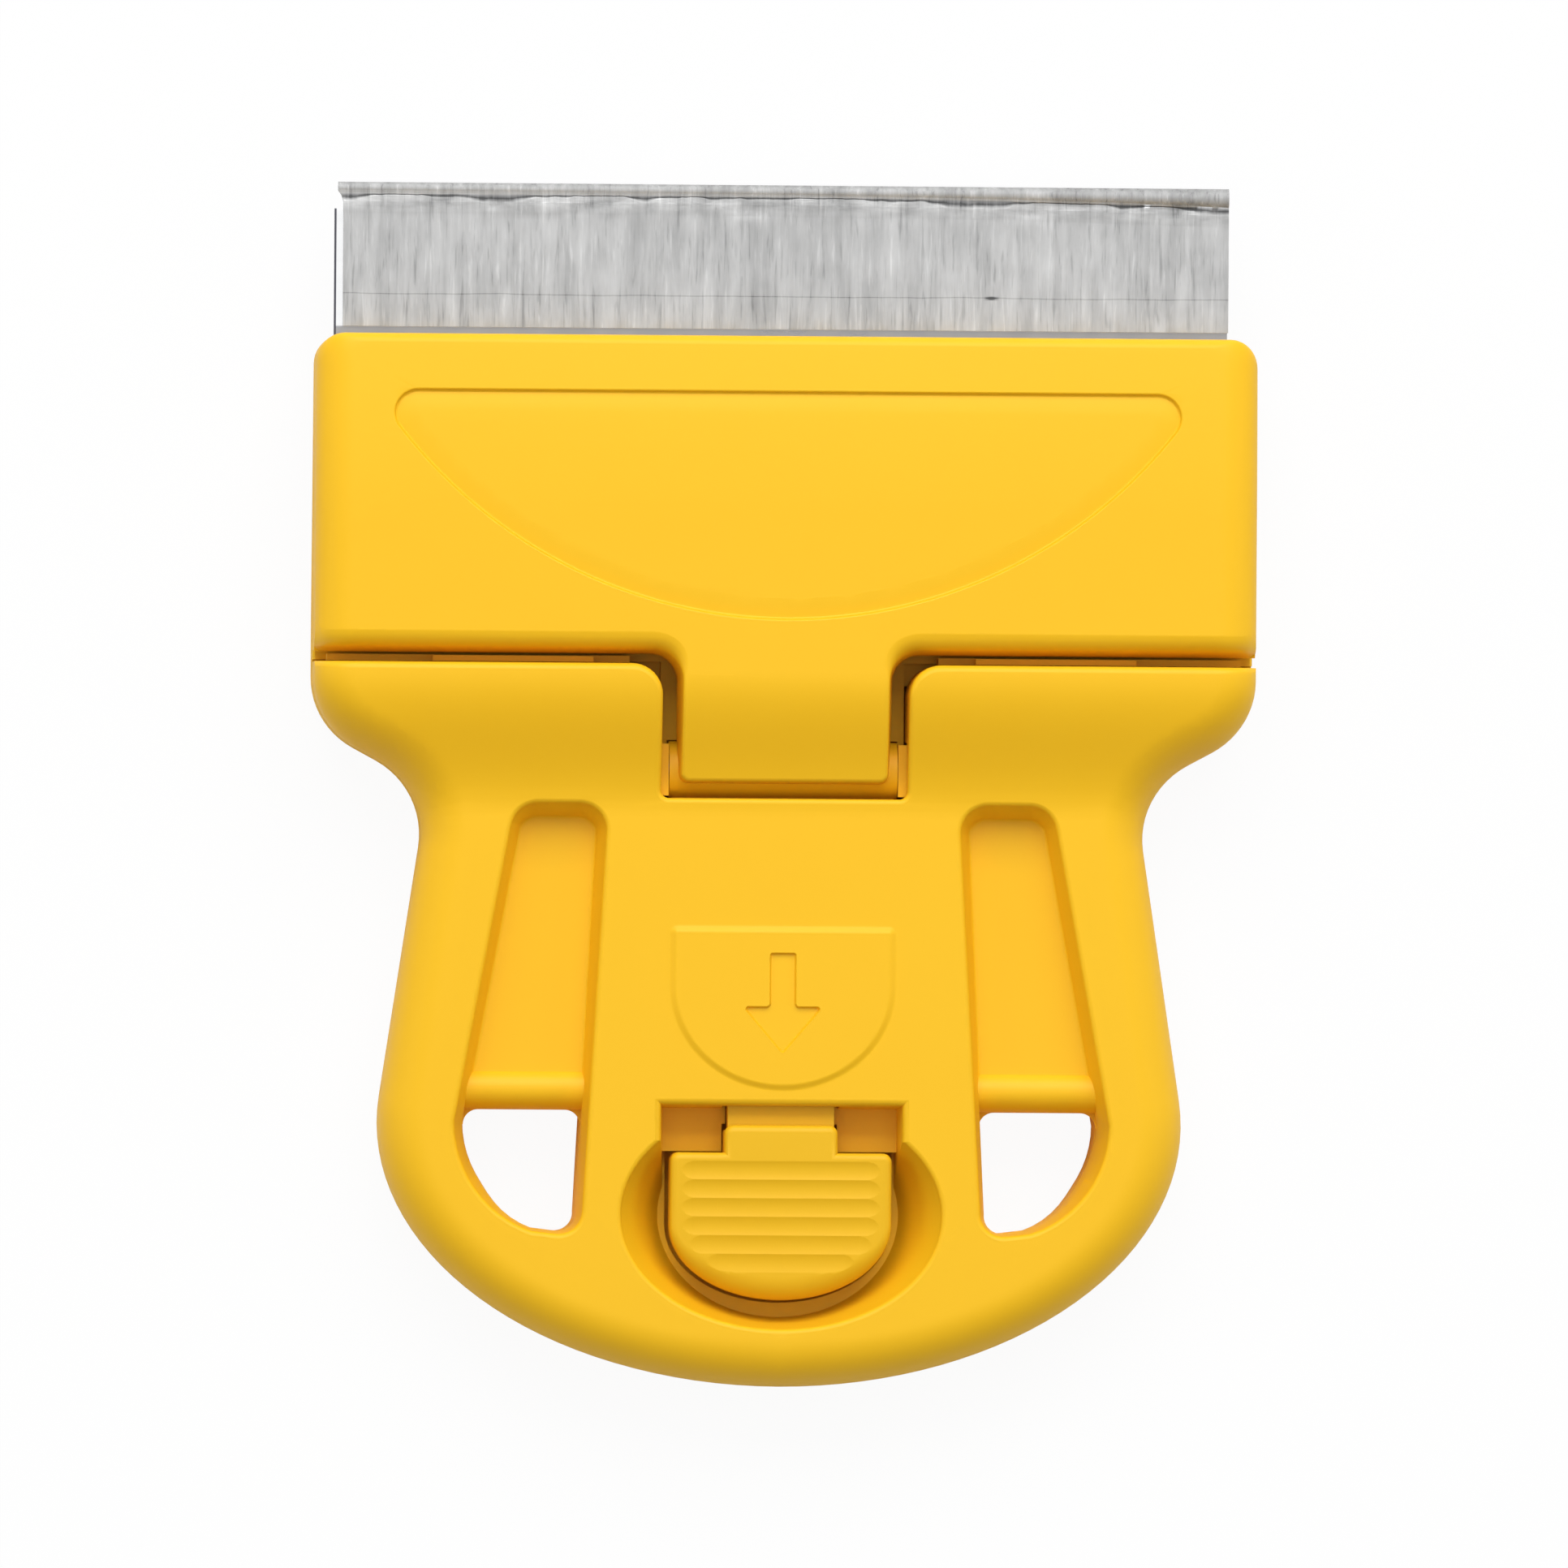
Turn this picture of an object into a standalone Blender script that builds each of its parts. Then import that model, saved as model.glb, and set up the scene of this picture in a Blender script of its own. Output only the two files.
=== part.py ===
"""Hand scraper with a spring-closed jaw.

Two moulded handle shells carry a rocking clamp jaw on a pin. The press button on the jaw's arm
opens the jaw against a coil spring, and a folded guard covers the blade's edge.
Lengths are in metres. X runs across, Y from the handle's end towards the blade, Z from the back
to the front.
"""

import math

import bmesh
import bpy
from mathutils import Matrix, Vector

MM = 0.001

# Clearances
GAP = 0.3 * MM
SHEET_GAP = 0.15 * MM
CUT_MARGIN = 1.0 * MM
WELD_DISTANCE = 0.003 * MM
FLAT_ANGLE = 0.0005

# Fineness of round forms, in degrees for one step and in sides for one turn
FINE_TURN = 7.0
COARSE_TURN = 15.0
CORNER_TURN = 22.5
ROUND_SIDES = 24
SMALL_SIDES = 16
SHARP_ANGLE = 32.0

# Handle outline
BODY_LENGTH = 117.5 * MM
HEAD_WIDTH = 105.4 * MM
HANDLE_WIDTH = 90.0 * MM
HANDLE_END_LENGTH = 29.4 * MM
WAIST_WIDTH = 81.2 * MM
WAIST_Y = 60.0 * MM
FLARE_RADIUS = 9.4 * MM
SHOULDER_RADIUS = 9.0 * MM
FLARE_RUN = 3.0 * MM
SHOULDER_Y = 80.8 * MM
SHOULDER_SIDE = 1.6 * MM
MOUTH_CORNER = 3.2 * MM

# Heights above the back face
HANDLE_HEIGHT = 15.0 * MM
HEAD_STEP = 4.5 * MM
STEP_START_Y = 63.8 * MM
STEP_SLICES = 9
MOUTH_DROP = 1.1 * MM
MOUTH_DROP_LENGTH = 20.5 * MM
DROP_SLICES = 5
PARTING_Z = 7.5 * MM
SEAT_Z = 9.0 * MM
REAR_LIFT = 5.0 * MM
REAR_LIFT_LENGTH = 31.5 * MM
WALL = 2.2 * MM

# Rounded edges
HANDLE_EDGE = 5.5 * MM
HEAD_EDGE = 2.6 * MM
REAR_EDGE = 4.0 * MM
REAR_HEAD_EDGE = 1.8 * MM
EDGE_STEPS = 4
EDGE_PER_CORNER = 0.85

# Jaw and its tongue
JAW_GAP = 2.0 * MM
NOTCH_WIDTH = 27.6 * MM
NOTCH_Y = 65.8 * MM
TONGUE_SIDE_GAP = 1.8 * MM
TONGUE_END_GAP = 1.9 * MM
NOTCH_CORNER = 0.9 * MM
TONGUE_BLEND = 3.5 * MM
TONGUE_UNDERSIDE_Z = 12.5 * MM
JAW_WALL = 2.4 * MM
JAW_LIP = 3.0 * MM
JAW_TOP_WALL = 2.4 * MM
RIB = 1.6 * MM
OUTER_RIB_INSIDE = 6.7 * MM
INNER_RIB_OUTSIDE = 5.7 * MM

# Crescent recess in the jaw's face
CRESCENT_DEPTH = 0.5 * MM
CRESCENT_FROM_MOUTH = 6.3 * MM
CRESCENT_FROM_GAP = 3.0 * MM
CRESCENT_RADIUS = 55.0 * MM
CRESCENT_CORNER = 2.6 * MM

# Stop pads in the gap below the jaw, and the groove between them
PAD_INSIDE = 22.3 * MM
PAD_WIDTH = 18.0 * MM
GROOVE_Z = 5.0 * MM
GROOVE_LENGTH = 3.4 * MM

# Pockets in the rear jaw, and the ribs that stop the blade
TRAY_PAST_SHOULDER = 6.2 * MM
TRAY_BEFORE_BLADE = 3.0 * MM
TRAY_Z = 5.2 * MM
BLADE_STOP_INSIDE = 17.7 * MM
BLADE_STOP_WIDTH = 20.0 * MM
BLADE_STOP_HEIGHT = 1.6 * MM
BLADE_STOP_THICKNESS = 1.4 * MM

# Hinge
HINGE_Y = 69.0 * MM
HINGE_Z = 10.0 * MM
PIN_DIAMETER = 3.0 * MM
HUB_RADIUS = 3.7 * MM
HUB_SIDE_GAP = 0.45 * MM
EAR_REACH = 0.95 * MM
EAR_THICKNESS = 2.6 * MM
EAR_LENGTH = 5.8 * MM
EAR_RISE = 2.9 * MM

# Arm below the bridge
ARM_HEIGHT = 3.5 * MM
ARM_TOP_GAP = 0.4 * MM
ARM_WIDTH = 11.9 * MM
ARM_ROOT_Y = 63.5 * MM
ARM_TAPER_Y = 54.0 * MM
ARM_END_Y = 22.0 * MM

# Press button
BUTTON_WIDTH = 24.8 * MM
BUTTON_TOP_Y = 26.2 * MM
BUTTON_ROUND_Y = 18.1 * MM
BUTTON_END_Y = 9.7 * MM
BUTTON_SINK = 1.0 * MM
BUTTON_DEPTH = 5.2 * MM
BUTTON_EDGE = 0.7 * MM
BUTTON_END_EDGE = 2.4 * MM
BUTTON_CORNER = 0.9 * MM
NECK_WIDTH = 12.7 * MM
NECK_LENGTH = 3.1 * MM
VALLEY_COUNT = 6
VALLEY_DEPTH = 0.3 * MM
RIDGE_PITCH = 2.08 * MM
FIRST_VALLEY = 0.9 * MM
RIDGE_MARGIN = 1.2 * MM
PEG_DIAMETER = 2.6 * MM
PEG_FROM_ARM_END = 3.2 * MM

# Well and finger scoop
WELL_WIDTH = 27.0 * MM
WELL_TOP_Y = 31.5 * MM
WELL_END_GAP = 2.1 * MM
WELL_WALL = 1.8 * MM
SCOOP_Y = 19.2 * MM
SCOOP_WIDTH = 36.2 * MM
SCOOP_LENGTH = 25.8 * MM
SCOOP_DEPTH = 8.0 * MM

# Side windows, the right one
WINDOW_TOP_Y = 65.5 * MM
WINDOW_INNER_TOP_X = 19.7 * MM
WINDOW_INNER_LOW_X = 22.5 * MM
WINDOW_OUTER_TOP_X = 30.0 * MM
WINDOW_OUTER_LOW_X = 36.6 * MM
WINDOW_ROUND_Y = 29.5 * MM
WINDOW_LOW_Y = 16.2 * MM
WINDOW_CORNER = 3.0 * MM
WINDOW_LOW_CORNER = 2.6 * MM
WINDOW_ARC_START = -72.0
WINDOW_DEPTH = 4.0 * MM
WINDOW_DRAFT = 0.9 * MM
HOLE_DRAFT = 1.5 * MM
WINDOW_WALL = 1.8 * MM
BAR_Y = 33.0 * MM
BAR_RADIUS = 2.9 * MM
BAR_RISE = 1.1 * MM

# Raised shield on the bridge
SHIELD_WIDTH = 24.6 * MM
SHIELD_TOP_Y = 51.2 * MM
SHIELD_ROUND_Y = 44.8 * MM
SHIELD_LOW_Y = 33.5 * MM
SHIELD_RAISE = 0.35 * MM

# Closing spring under the button
SPRING_DIAMETER = 8.6 * MM
SPRING_WIRE = 0.7 * MM
SPRING_TURNS = 5
SPRING_Y = 16.0 * MM
SPRING_POCKET_GAP = 0.7 * MM
SPRING_POCKET_ROOF = 2.0 * MM
SPRING_POST_HEIGHT = 1.4 * MM
POINTS_PER_TURN = 10

# Shell screws, driven from the back
SCREW_DIAMETER = 2.6 * MM
SCREW_HEAD_DIAMETER = 5.0 * MM
SCREW_HEAD_HEIGHT = 1.6 * MM
SCREW_LENGTH = 11.0 * MM
SCREW_SINK = 0.5 * MM
SCREW_SLOT = 0.7 * MM
SCREW_SLOT_LENGTH = 3.4 * MM
BOSS_RADIUS = 3.2 * MM
SHOULDER_SCREW_INSIDE = 16.7 * MM
SHOULDER_SCREW_BEFORE = 7.4 * MM
END_SCREW_X = 21.0 * MM
END_SCREW_Y = 10.2 * MM

# Blade
BLADE_LENGTH = 100.2 * MM
BLADE_WIDTH = 25.0 * MM
BLADE_THICKNESS = 0.4 * MM
BLADE_REACH = 14.1 * MM
BLADE_BEVEL = 1.4 * MM
BLADE_EDGE = 0.08 * MM
BLADE_SHIFT = -0.5 * MM

# Edge guard, folded from thin sheet
GUARD_SHORTER = 0.5 * MM
GUARD_SHIFT = 0.35 * MM
GUARD_SHEET = 0.3 * MM
GUARD_BEAD_RADIUS = 1.05 * MM
GUARD_BEAD_PAST_EDGE = 3.0 * MM
GUARD_MOUTH_GAP = 0.95 * MM

# Worked out from the sizes above
HEAD_HALF = HEAD_WIDTH / 2
NOTCH_HALF = NOTCH_WIDTH / 2
TONGUE_HALF = NOTCH_HALF - TONGUE_SIDE_GAP
TONGUE_END_Y = NOTCH_Y + TONGUE_END_GAP
JAW_LOW_Y = SHOULDER_Y + JAW_GAP
OUTER_RIB_X = HEAD_HALF - OUTER_RIB_INSIDE
INNER_RIB_X = NOTCH_HALF + INNER_RIB_OUTSIDE
PAD_X = HEAD_HALF - PAD_INSIDE
CRESCENT_TOP_Y = BODY_LENGTH - CRESCENT_FROM_MOUTH
CRESCENT_LOW_Y = JAW_LOW_Y + CRESCENT_FROM_GAP
SHOULDER_SCREW_X = HEAD_HALF - SHOULDER_SCREW_INSIDE
SHOULDER_SCREW_Y = SHOULDER_Y - SHOULDER_SCREW_BEFORE
BRIDGE_UNDERSIDE_Z = HANDLE_HEIGHT - WALL
BLADE_Z = SEAT_Z + SHEET_GAP + BLADE_THICKNESS / 2
JAW_UNDERSIDE_Z = BLADE_Z + BLADE_THICKNESS / 2 + SHEET_GAP
JAW_ROOF_Z = HANDLE_HEIGHT + HEAD_STEP - MOUTH_DROP - JAW_TOP_WALL
BLADE_EDGE_Y = BODY_LENGTH + BLADE_REACH
BLADE_BACK_Y = BLADE_EDGE_Y - BLADE_WIDTH
BLADE_STOP_X = BLADE_LENGTH / 2 - BLADE_STOP_INSIDE
TRAY_START_Y = SHOULDER_Y + TRAY_PAST_SHOULDER
TRAY_END_Y = BLADE_BACK_Y - TRAY_BEFORE_BLADE
GUARD_TOP_Y = BLADE_EDGE_Y + GUARD_BEAD_PAST_EDGE
EAR_INNER_X = NOTCH_HALF - EAR_REACH
EAR_OUTER_X = EAR_INNER_X + EAR_THICKNESS
EAR_TOP_Z = HINGE_Z + EAR_RISE
HUB_HALF = EAR_INNER_X - HUB_SIDE_GAP
BORE_RADIUS = PIN_DIAMETER / 2 + GAP
ARM_TOP_Z = BRIDGE_UNDERSIDE_Z - ARM_TOP_GAP
ARM_LOW_Z = ARM_TOP_Z - ARM_HEIGHT
BUTTON_Z = HANDLE_HEIGHT - BUTTON_SINK
BUTTON_LOW_Z = BUTTON_Z - BUTTON_DEPTH
SPRING_LOW_Z = WALL + GAP
SPRING_HIGH_Z = BUTTON_Z - SPRING_POCKET_ROOF - GAP
BAR_Z = HANDLE_HEIGHT - WINDOW_DEPTH + BAR_RISE - BAR_RADIUS
HOLE_TOP_Y = BAR_Y - BAR_RADIUS
WELL_HALF = WELL_WIDTH / 2
WELL_END_Y = BUTTON_END_Y - WELL_END_GAP
TOP_OF_CUTS = HANDLE_HEIGHT + HEAD_STEP + 2 * CUT_MARGIN
FAR = 2 * (HEAD_WIDTH + BODY_LENGTH)

YELLOW = (0.94, 0.55, 0.03, 1.0)
STEEL = (0.62, 0.63, 0.64, 1.0)
FOIL = (0.58, 0.58, 0.57, 1.0)

parts = bpy.data.collections.new("scraper")
cutters = bpy.data.collections.new("cutters")


def clear_scene():
    for thing in list(bpy.context.scene.objects):
        bpy.data.objects.remove(thing)
    bpy.context.scene.collection.children.link(parts)
    bpy.context.scene.collection.children.link(cutters)


def material(name, colour, roughness, metallic):
    made = bpy.data.materials.new(name)
    made.use_nodes = True
    shader = made.node_tree.nodes["Principled BSDF"]
    shader.inputs["Base Color"].default_value = colour
    shader.inputs["Roughness"].default_value = roughness
    shader.inputs["Metallic"].default_value = metallic
    return made


# Outlines, as lists of x and y points running counter-clockwise

def arc(centre_x, centre_y, radius_x, radius_y, start, end, turn=COARSE_TURN):
    points = []
    steps = math.ceil(abs(end - start) / turn)
    for step in range(steps + 1):
        angle = math.radians(start + (end - start) * step / steps)
        points.append((centre_x + radius_x * math.cos(angle), centre_y + radius_y * math.sin(angle)))
    return points


def mirrored(points):
    return [(-x, y) for x, y in reversed(points)]


def filleted(corners):
    """An outline from corners given as x, y and corner radius."""
    points = []
    count = len(corners)
    for index, (x, y, radius) in enumerate(corners):
        here = Vector((x, y))
        if radius <= 0:
            points.append((x, y))
            continue
        to_before = (Vector(corners[index - 1][:2]) - here).normalized()
        to_after = (Vector(corners[(index + 1) % count][:2]) - here).normalized()
        half_angle = to_before.angle(to_after) / 2
        centre = here + (to_before + to_after).normalized() * (radius / math.sin(half_angle))
        start = here + to_before * (radius / math.tan(half_angle)) - centre
        turn = math.pi - 2 * half_angle
        if to_before.x * to_after.y - to_before.y * to_after.x > 0:
            turn = -turn
        steps = math.ceil(abs(math.degrees(turn)) / CORNER_TURN)
        for step in range(steps + 1):
            points.append(tuple(centre + Matrix.Rotation(turn * step / steps, 2) @ start))
    return points


def inset(points, distances):
    """The outline moved inwards by one distance, or by one for each point."""
    if not isinstance(distances, list):
        distances = [distances] * len(points)
    moved = []
    for index, distance in enumerate(distances):
        before = Vector(points[index - 1])
        here = Vector(points[index])
        after = Vector(points[(index + 1) % len(points)])
        first = (here - before).normalized()
        second = (after - here).normalized()
        across = Vector((-first.y, first.x))
        inward = (across + Vector((-second.y, second.x))).normalized()
        moved.append(tuple(here + inward * (distance / inward.dot(across))))
    return moved


def smooth(share):
    share = min(max(share, 0.0), 1.0)
    return share * share * (3 - 2 * share)


def body_outline():
    """The whole plan outline: rounded end, waist, flared shoulders and head."""
    half = HANDLE_WIDTH / 2
    end = HANDLE_END_LENGTH
    waist = Vector((WAIST_WIDTH / 2, WAIST_Y))
    wide = waist.x / half
    high = (waist.y - end) / end
    leave = math.atan2(high, wide) - math.acos(1 / math.hypot(wide, high))
    right = arc(0, end, half, end, -90, math.degrees(leave), FINE_TURN)
    side = (waist - Vector(right[-1])).normalized()
    lean = math.atan2(side.y, side.x)
    outside = waist + Vector((side.y, -side.x)) * FLARE_RADIUS
    shoulder = Vector((HEAD_HALF - SHOULDER_RADIUS, SHOULDER_Y - SHOULDER_SIDE))
    radii = FLARE_RADIUS + SHOULDER_RADIUS
    level = side.dot(shoulder - outside)
    across = (shoulder - outside - side * level).length
    flare = outside + side * (level - math.sqrt(radii ** 2 + FLARE_RUN ** 2 - across ** 2))
    between = shoulder - flare
    slope = math.atan2(between.y, between.x) - math.asin(radii / between.length)
    slope = math.degrees(slope)
    right += arc(flare.x, flare.y, FLARE_RADIUS, FLARE_RADIUS, math.degrees(lean) + 90, slope + 90)
    right += arc(shoulder.x, shoulder.y, SHOULDER_RADIUS, SHOULDER_RADIUS, slope - 90, 0)
    corner = HEAD_HALF - MOUTH_CORNER
    right += arc(corner, BODY_LENGTH - MOUTH_CORNER, MOUTH_CORNER, MOUTH_CORNER, 0, 90, CORNER_TURN)
    return right + mirrored(right)[:-1]


def window_outline():
    centre_x = WINDOW_INNER_LOW_X + WINDOW_CORNER / 2
    round_x = WINDOW_OUTER_LOW_X - centre_x
    round_y = WINDOW_ROUND_Y - WINDOW_LOW_Y
    corners = [(WINDOW_INNER_TOP_X, WINDOW_TOP_Y, WINDOW_CORNER)]
    corners.append((WINDOW_INNER_LOW_X, WINDOW_LOW_Y, WINDOW_LOW_CORNER))
    for x, y in arc(centre_x, WINDOW_ROUND_Y, round_x, round_y, WINDOW_ARC_START, 0):
        corners.append((x, y, 0))
    corners.append((WINDOW_OUTER_TOP_X, WINDOW_TOP_Y, WINDOW_CORNER))
    return filleted(corners)


def well_outline():
    depth = SCOOP_Y - WELL_END_Y
    points = arc(0, SCOOP_Y, WELL_HALF, depth, 180, 360, FINE_TURN)
    return points + [(WELL_HALF, WELL_TOP_Y), (-WELL_HALF, WELL_TOP_Y)]


def button_outline():
    half = BUTTON_WIDTH / 2
    neck = NECK_WIDTH / 2
    neck_top = BUTTON_TOP_Y + NECK_LENGTH
    end = arc(0, BUTTON_ROUND_Y, half, BUTTON_ROUND_Y - BUTTON_END_Y, 180, 360, FINE_TURN)
    corners = [(x, y, 0) for x, y in end]
    corners += [(half, BUTTON_TOP_Y, BUTTON_CORNER), (neck, BUTTON_TOP_Y, 0)]
    corners += [(neck, neck_top, BUTTON_CORNER), (-neck, neck_top, BUTTON_CORNER)]
    corners += [(-neck, BUTTON_TOP_Y, 0), (-half, BUTTON_TOP_Y, BUTTON_CORNER)]
    return filleted(corners)


def shield_outline():
    half = SHIELD_WIDTH / 2
    points = arc(0, SHIELD_ROUND_Y, half, SHIELD_ROUND_Y - SHIELD_LOW_Y, 180, 360)
    return points + [(half, SHIELD_TOP_Y), (-half, SHIELD_TOP_Y)]


def crescent_outline():
    centre_y = CRESCENT_LOW_Y + CRESCENT_RADIUS
    corner_y = CRESCENT_TOP_Y - CRESCENT_CORNER
    below = corner_y - centre_y
    corner_x = math.sqrt((CRESCENT_RADIUS - CRESCENT_CORNER) ** 2 - below ** 2)
    angle = math.degrees(math.atan2(below, corner_x))
    right = arc(0, centre_y, CRESCENT_RADIUS, CRESCENT_RADIUS, -90, angle, FINE_TURN)
    right += arc(corner_x, corner_y, CRESCENT_CORNER, CRESCENT_CORNER, angle, 90)[1:]
    return right + mirrored(right)[:-1]


def notched_outline(half, low_y, edge_y, corner, blend):
    """A slot of half width half from low_y up to edge_y, open to all that lies past edge_y.

    The edges beside the slot lean by a hair, because a fill can't take four corners in one line.
    """
    far_y = edge_y - CUT_MARGIN
    corners = [(-half, low_y, corner), (half, low_y, corner), (half, edge_y, blend), (FAR, far_y, 0)]
    corners += [(FAR, FAR, 0), (-FAR, FAR, 0), (-FAR, far_y, 0)]
    corners.append((-half, edge_y, blend))
    return filleted(corners)


def arm_outline():
    half = ARM_WIDTH / 2
    root = HUB_HALF - GAP
    right = [(half, ARM_END_Y), (half, ARM_TAPER_Y), (root, ARM_ROOT_Y), (root, HINGE_Y)]
    return right + mirrored(right)


# Solids

def new_object(name, shape):
    made = bpy.data.objects.new(name, shape)
    cutters.objects.link(made)
    return made


def loft(name, rings):
    """A closed solid through level rings that have the same number of points."""
    made = bmesh.new()
    loops = [[made.verts.new(point) for point in ring] for ring in rings]
    count = len(loops[0])
    for lower, upper in zip(loops, loops[1:]):
        for index in range(count):
            following = (index + 1) % count
            made.faces.new((lower[index], lower[following], upper[following], upper[index]))
    made.faces.new(reversed(loops[0]))
    made.faces.new(loops[-1])
    mesh = bpy.data.meshes.new(name)
    made.to_mesh(mesh)
    made.free()
    return new_object(name, mesh)


def ring(points, z):
    return [(x, y, z) for x, y in points]


def plate(name, points, low, high):
    """A flat outline, filled and extruded from low to high."""
    curve = bpy.data.curves.new(name, "CURVE")
    curve.dimensions = "2D"
    curve.fill_mode = "BOTH"
    curve.extrude = (high - low) / 2
    spline = curve.splines.new("POLY")
    spline.points.add(len(points) - 1)
    for point, (x, y) in zip(spline.points, points):
        point.co = (x, y, 0, 1)
    spline.use_cyclic_u = True
    flat = new_object(name, curve)
    flat.location.z = (low + high) / 2
    return as_mesh(flat)


def as_mesh(made):
    """The mesh of a curve object, its caps welded on and each flat side made one face."""
    bpy.context.view_layer.update()
    mesh = bpy.data.meshes.new_from_object(made.evaluated_get(bpy.context.evaluated_depsgraph_get()))
    shape = bmesh.new()
    shape.from_mesh(mesh)
    shape.transform(made.matrix_world)
    bmesh.ops.remove_doubles(shape, verts=shape.verts, dist=WELD_DISTANCE)
    bmesh.ops.dissolve_limit(shape, angle_limit=FLAT_ANGLE, verts=shape.verts, edges=shape.edges)
    bmesh.ops.recalc_face_normals(shape, faces=shape.faces)
    shape.to_mesh(mesh)
    shape.free()
    name = made.name
    bpy.data.objects.remove(made)
    return new_object(name, mesh)


def side_profile(name, points, left, right):
    """A profile of y and z points, extruded along X from left to right."""
    made = plate(name, points, left, right)
    made.data.transform(Matrix(((0, 0, 1, 0), (1, 0, 0, 0), (0, 1, 0, 0), (0, 0, 0, 1))))
    return made


def block(name, low, high):
    bpy.ops.mesh.primitive_cube_add(size=1, location=[(a + b) / 2 for a, b in zip(low, high)])
    made = bpy.context.object
    made.name = name
    made.scale = [b - a for a, b in zip(low, high)]
    return settled(made)


def cylinder(name, centre, radius, length, axis, sides=ROUND_SIDES):
    turn = {"X": (0, math.pi / 2, 0), "Y": (math.pi / 2, 0, 0), "Z": (0, 0, 0)}[axis]
    bpy.ops.mesh.primitive_cylinder_add(
        vertices=sides, radius=radius, depth=length, location=centre, rotation=turn
    )
    made = bpy.context.object
    made.name = name
    return settled(made)


def settled(made):
    """The object with its place and scale moved into its mesh."""
    bpy.context.view_layer.update()
    made.data.transform(made.matrix_world)
    made.matrix_world = Matrix()
    for collection in list(made.users_collection):
        collection.objects.unlink(made)
    cutters.objects.link(made)
    return made


def combine(body, tools, operation):
    """The body cut by, joined to or kept inside each tool in turn. The tools are used up."""
    for tool in tools:
        change = body.modifiers.new(operation.lower(), "BOOLEAN")
        change.operation = operation
        change.solver = "EXACT"
        change.object = tool
        bpy.context.view_layer.update()
        mesh = bpy.data.meshes.new_from_object(body.evaluated_get(bpy.context.evaluated_depsgraph_get()))
        body.modifiers.remove(change)
        body.data = mesh
        bpy.data.objects.remove(tool)
    return body


def cut(body, *tools):
    return combine(body, tools, "DIFFERENCE")


def join(body, *tools):
    return combine(body, tools, "UNION")


def keep(body, *tools):
    return combine(body, tools, "INTERSECT")


def slice_along(made, places):
    """Edge loops across the mesh at each y place, so that it can bend there."""
    for y in places:
        everything = made.verts[:] + made.edges[:] + made.faces[:]
        bmesh.ops.bisect_plane(made, geom=everything, plane_co=(0, y, 0), plane_no=(0, 1, 0))


# The front face steps up from the handle to the head, and drops a little towards the mouth.

def step_end_y():
    return SHOULDER_Y - SHOULDER_SIDE / 2


def front_rise(y):
    step = smooth((y - STEP_START_Y) / (step_end_y() - STEP_START_Y))
    past = max(0.0, y - (BODY_LENGTH - MOUTH_DROP_LENGTH)) / MOUTH_DROP_LENGTH
    return HEAD_STEP * step - MOUTH_DROP * past * past


def rise_places():
    run = step_end_y() - STEP_START_Y
    places = [STEP_START_Y + run * index / STEP_SLICES for index in range(STEP_SLICES + 1)]
    places += [BODY_LENGTH - MOUTH_DROP_LENGTH * (1 - index / DROP_SLICES) for index in range(DROP_SLICES)]
    return places


def raise_front(body, fixed_z, full_z):
    """Lift the body's upper part to the front face's height, stretching it between the two levels."""
    made = bmesh.new()
    made.from_mesh(body.data)
    slice_along(made, rise_places())
    for vert in made.verts:
        share = min(max((vert.co.z - fixed_z) / (full_z - fixed_z), 0.0), 1.0)
        vert.co.z += front_rise(vert.co.y) * share
    bmesh.ops.triangulate(made, faces=made.faces)
    made.to_mesh(body.data)
    made.free()
    return body


def edge_radius(y, handle_edge, head_edge):
    limit = EDGE_PER_CORNER * MOUTH_CORNER
    along = smooth((y - WAIST_Y) / (SHOULDER_Y - WAIST_Y))
    return handle_edge + (min(head_edge, limit) - handle_edge) * along


def front_form(name, low, *recesses):
    """The whole front of the tool above low, with rounded edges and with recesses that follow its face."""
    points = body_outline()
    radii = [edge_radius(y, HANDLE_EDGE, HEAD_EDGE) for _, y in points]
    rings = [ring(points, low), ring(points, HANDLE_HEIGHT - HANDLE_EDGE)]
    for step in range(EDGE_STEPS + 1):
        angle = math.pi / 2 * step / EDGE_STEPS
        pulled = inset(points, [radius * (1 - math.cos(angle)) for radius in radii])
        heights = [HANDLE_HEIGHT - radius * (1 - math.sin(angle)) for radius in radii]
        rings.append([(x, y, z) for (x, y), z in zip(pulled, heights)])
    return raise_front(cut(loft(name, rings), *recesses), low, HANDLE_HEIGHT - HANDLE_EDGE)


def rear_form(name, high):
    """The whole back of the tool below high, with rounded edges and the head lifted to the mouth."""
    points = body_outline()
    radii = [edge_radius(y, REAR_EDGE, REAR_HEAD_EDGE) for _, y in points]
    rings = []
    for step in range(EDGE_STEPS + 1):
        angle = math.pi / 2 * (1 - step / EDGE_STEPS)
        pulled = inset(points, [radius * (1 - math.cos(angle)) for radius in radii])
        heights = [radius * (1 - math.sin(angle)) for radius in radii]
        rings.append([(x, y, z) for (x, y), z in zip(pulled, heights)])
    rings.append(ring(points, high))
    body = loft(name, rings)
    made = bmesh.new()
    made.from_mesh(body.data)
    lift_start = BODY_LENGTH - REAR_LIFT_LENGTH
    slice_along(made, [lift_start])
    for vert in made.verts:
        along = max(0.0, vert.co.y - lift_start) / REAR_LIFT_LENGTH
        vert.co.z += REAR_LIFT * along * (1 - vert.co.z / high)
    bmesh.ops.triangulate(made, faces=made.faces)
    made.to_mesh(body.data)
    made.free()
    return body


# Cutters and inner walls shared by the shells

def past_y(name, y):
    """A block over all that lies past y."""
    return block(name, (-FAR, y, -FAR), (FAR, FAR, FAR))


def before_y(name, y):
    return block(name, (-FAR, -FAR, -FAR), (FAR, y, FAR))


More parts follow.
